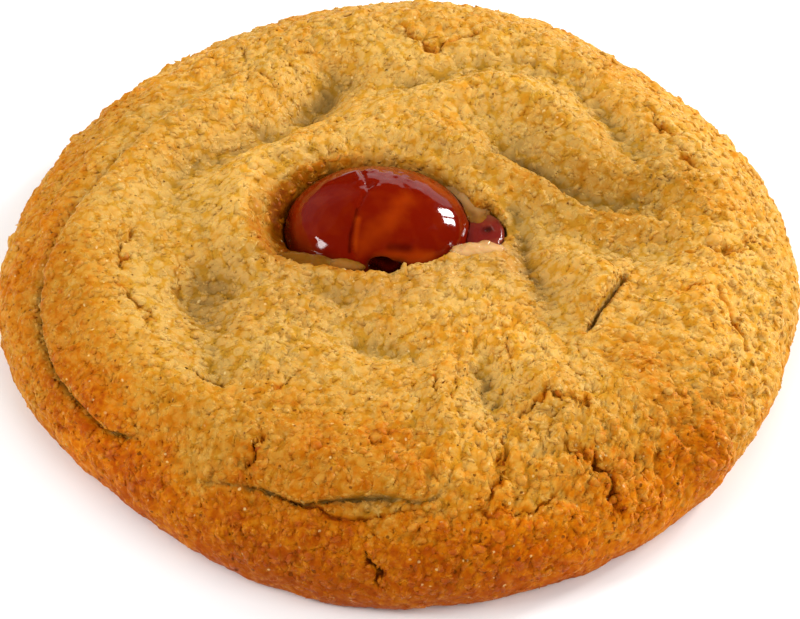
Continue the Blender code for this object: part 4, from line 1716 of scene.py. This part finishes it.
@dataclass
class Studio:
    """Pale floor, soft lights, even surroundings and the camera.

    Attributes:
        elevation: Degrees by which the camera looks down.
        distance: Distance from the camera to what it aims at, in millimetres.
        aim: What it aims at.
        lens: Its focal length.
        softboxes: The lights.
        surroundings: Strength of the light from all round.
    """

    elevation: float = 46.0
    distance: float = 420.0
    aim: Triple = (-0.22, -5.59, 6.0)
    lens: float = 157.2
    softboxes: tuple[Softbox, ...] = (
        Softbox("window_far", 50.5, 23, 0.62, (0.08, 0.13), 1.5),
        Softbox("window_near", 62.5, 25, 0.62, (0.08, 0.14), 1.5),
        Softbox("left_card", -58, 30, 0.70, (1.0, 0.66), 0.14),
        Softbox("left_card_middle", -54, 28, 0.69, (0.7, 0.46), 0.07),
        Softbox("left_card_heart", -50, 26, 0.68, (0.42, 0.28), 0.04),
        Softbox("side_window", -106, 33, 0.66, (0.19, 0.16), 1.6),
        Softbox("doorway", 95, 12, 0.70, (0.09, 0.10), 0.35),
        Softbox("back_card", 17, 12, 0.70, (0.60, 0.36), 0.62),
        Softbox("left_fill", -100, 48, 0.75, (0.5, 0.4), 1.1, reflected=False),
        Softbox("front_fill", 128, 45, 0.75, (0.5, 0.4), 2.2, reflected=False),
        Softbox("overhead", 0, 65, 0.80, (0.6, 0.6), 1.0, reflected=False),
    )
    surroundings: float = 0.47

    def build(self) -> None:
        """Set up the floor, lights, surroundings and camera."""
        self.add_floor()
        for softbox in self.softboxes:
            softbox.build()
        self.add_surroundings()
        self.add_camera()
        bpy.context.scene.view_settings.view_transform = "Standard"

    def add_surroundings(self) -> None:
        """Light the scene evenly from all round, unseen in glossy surfaces."""
        world = bpy.data.worlds.new("surroundings")
        world.use_nodes = True
        background = world.node_tree.nodes["Background"]
        background.inputs["Color"].default_value = (1.0, 1.0, 1.0, 1.0)
        background.inputs["Strength"].default_value = self.surroundings
        world.cycles_visibility.glossy = False
        bpy.context.scene.world = world

    def add_camera(self) -> None:
        """Stand the camera in front of the cookie, looking down at it."""
        rise = math.radians(self.elevation)
        back = Vector((0.0, -math.cos(rise), math.sin(rise)))
        camera = bpy.data.cameras.new("camera")
        camera.lens = self.lens
        camera.clip_start = 0.01
        stand = link_object("camera", camera)
        stand.location = (Vector(self.aim) + back * self.distance) * MM
        stand.rotation_euler = back.to_track_quat("Z", "Y").to_euler()
        bpy.context.scene.camera = stand

    def add_floor(self) -> None:
        """Lay the pale floor under the cookie."""
        bm = bmesh.new()
        bmesh.ops.create_grid(bm, x_segments=1, y_segments=1, size=1.5)
        floor = make_object("floor", bm)
        made, nodes, shader = new_material("pale_floor")
        where = nodes.add("TexCoord").outputs["Object"]
        tone = nodes.fit(nodes.noise(where, 40.0, 2.0), 0.3, 0.7, 0.93, 0.95)
        nodes.feed(shader, {"Base Color": nodes.grey(tone), "Roughness": 0.7,
                            "Specular IOR Level": 0.2})
        floor.data.materials.append(made)


def main() -> None:
    """Build the cookie's pieces in order, dress them and set up the studio."""
    logging.basicConfig(level=logging.INFO, format="%(name)s: %(message)s")
    crust = CrustFinish()
    crust_look = crust.group()
    sticky = WetFinish.group()
    cherry, jam, dough = Cherry(), Jam(), Dough()
    pieces: list[tuple[bpy.types.Object, bpy.types.Material, str, str | None]] = []

    cookie = dough.build(cherry, jam)
    pieces.append((cookie, crust.material("baked_crust", crust_look, 0.16, 0.05),
                   "cookie", "cookie"))
    grain_finish = crust.material("grain_crust", crust_look, 0.05, 0.16)
    surface = Crust.read(cookie.data)
    for grains in (Grains("crust_lumps", count=8600, radius=0.42, spread=0.24, squat=0.42,
                          sunk=0.30, toast=-0.03, seed=11),
                   Grains("crust_flakes", count=9500, radius=0.27, spread=0.20, squat=0.55,
                          sunk=0.35, toast=-0.05, seed=13, length=2.1, curl=0.5),
                   Grains("crumb_grains", count=3000, radius=0.21, spread=0.25, squat=0.70,
                          sunk=0.40, toast=-0.05, seed=12)):
        pieces.append((grains.build(surface), grain_finish, "cookie", None))
    fruit = WetFinish(deep=(0.16, 0.0055, 0.0006), lit=(0.36, 0.040, 0.001), ripple=0.05)
    pieces.append((cherry.build(), fruit.material("glace_fruit", sticky), "cherry", "cherry"))
    preserve = WetFinish(deep=(0.16, 0.012, 0.008), lit=(0.27, 0.075, 0.032), ripple=0.10,
                         roughness=0.16)
    pieces.append((jam.build(cherry), preserve.material("dark_jam", sticky), "jam", "jam"))
    gel = WetFinish(deep=(0.31, 0.110, 0.009), lit=(0.80, 0.46, 0.18), ripple=0.30,
                    clear=0.20, roughness=0.05)
    pieces.append((Syrup().build(cherry), gel.material("set_syrup", sticky), "jam", None))

    for piece, finish, slot, node in pieces:
        piece.data.materials.append(finish)
        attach(piece, "root")
        if node:
            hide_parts(node)
        log.info("%s: %d vertices", piece.name, len(piece.data.vertices))
    Studio().build()
    log.info("studio ready")


if __name__ == "__main__":
    main()
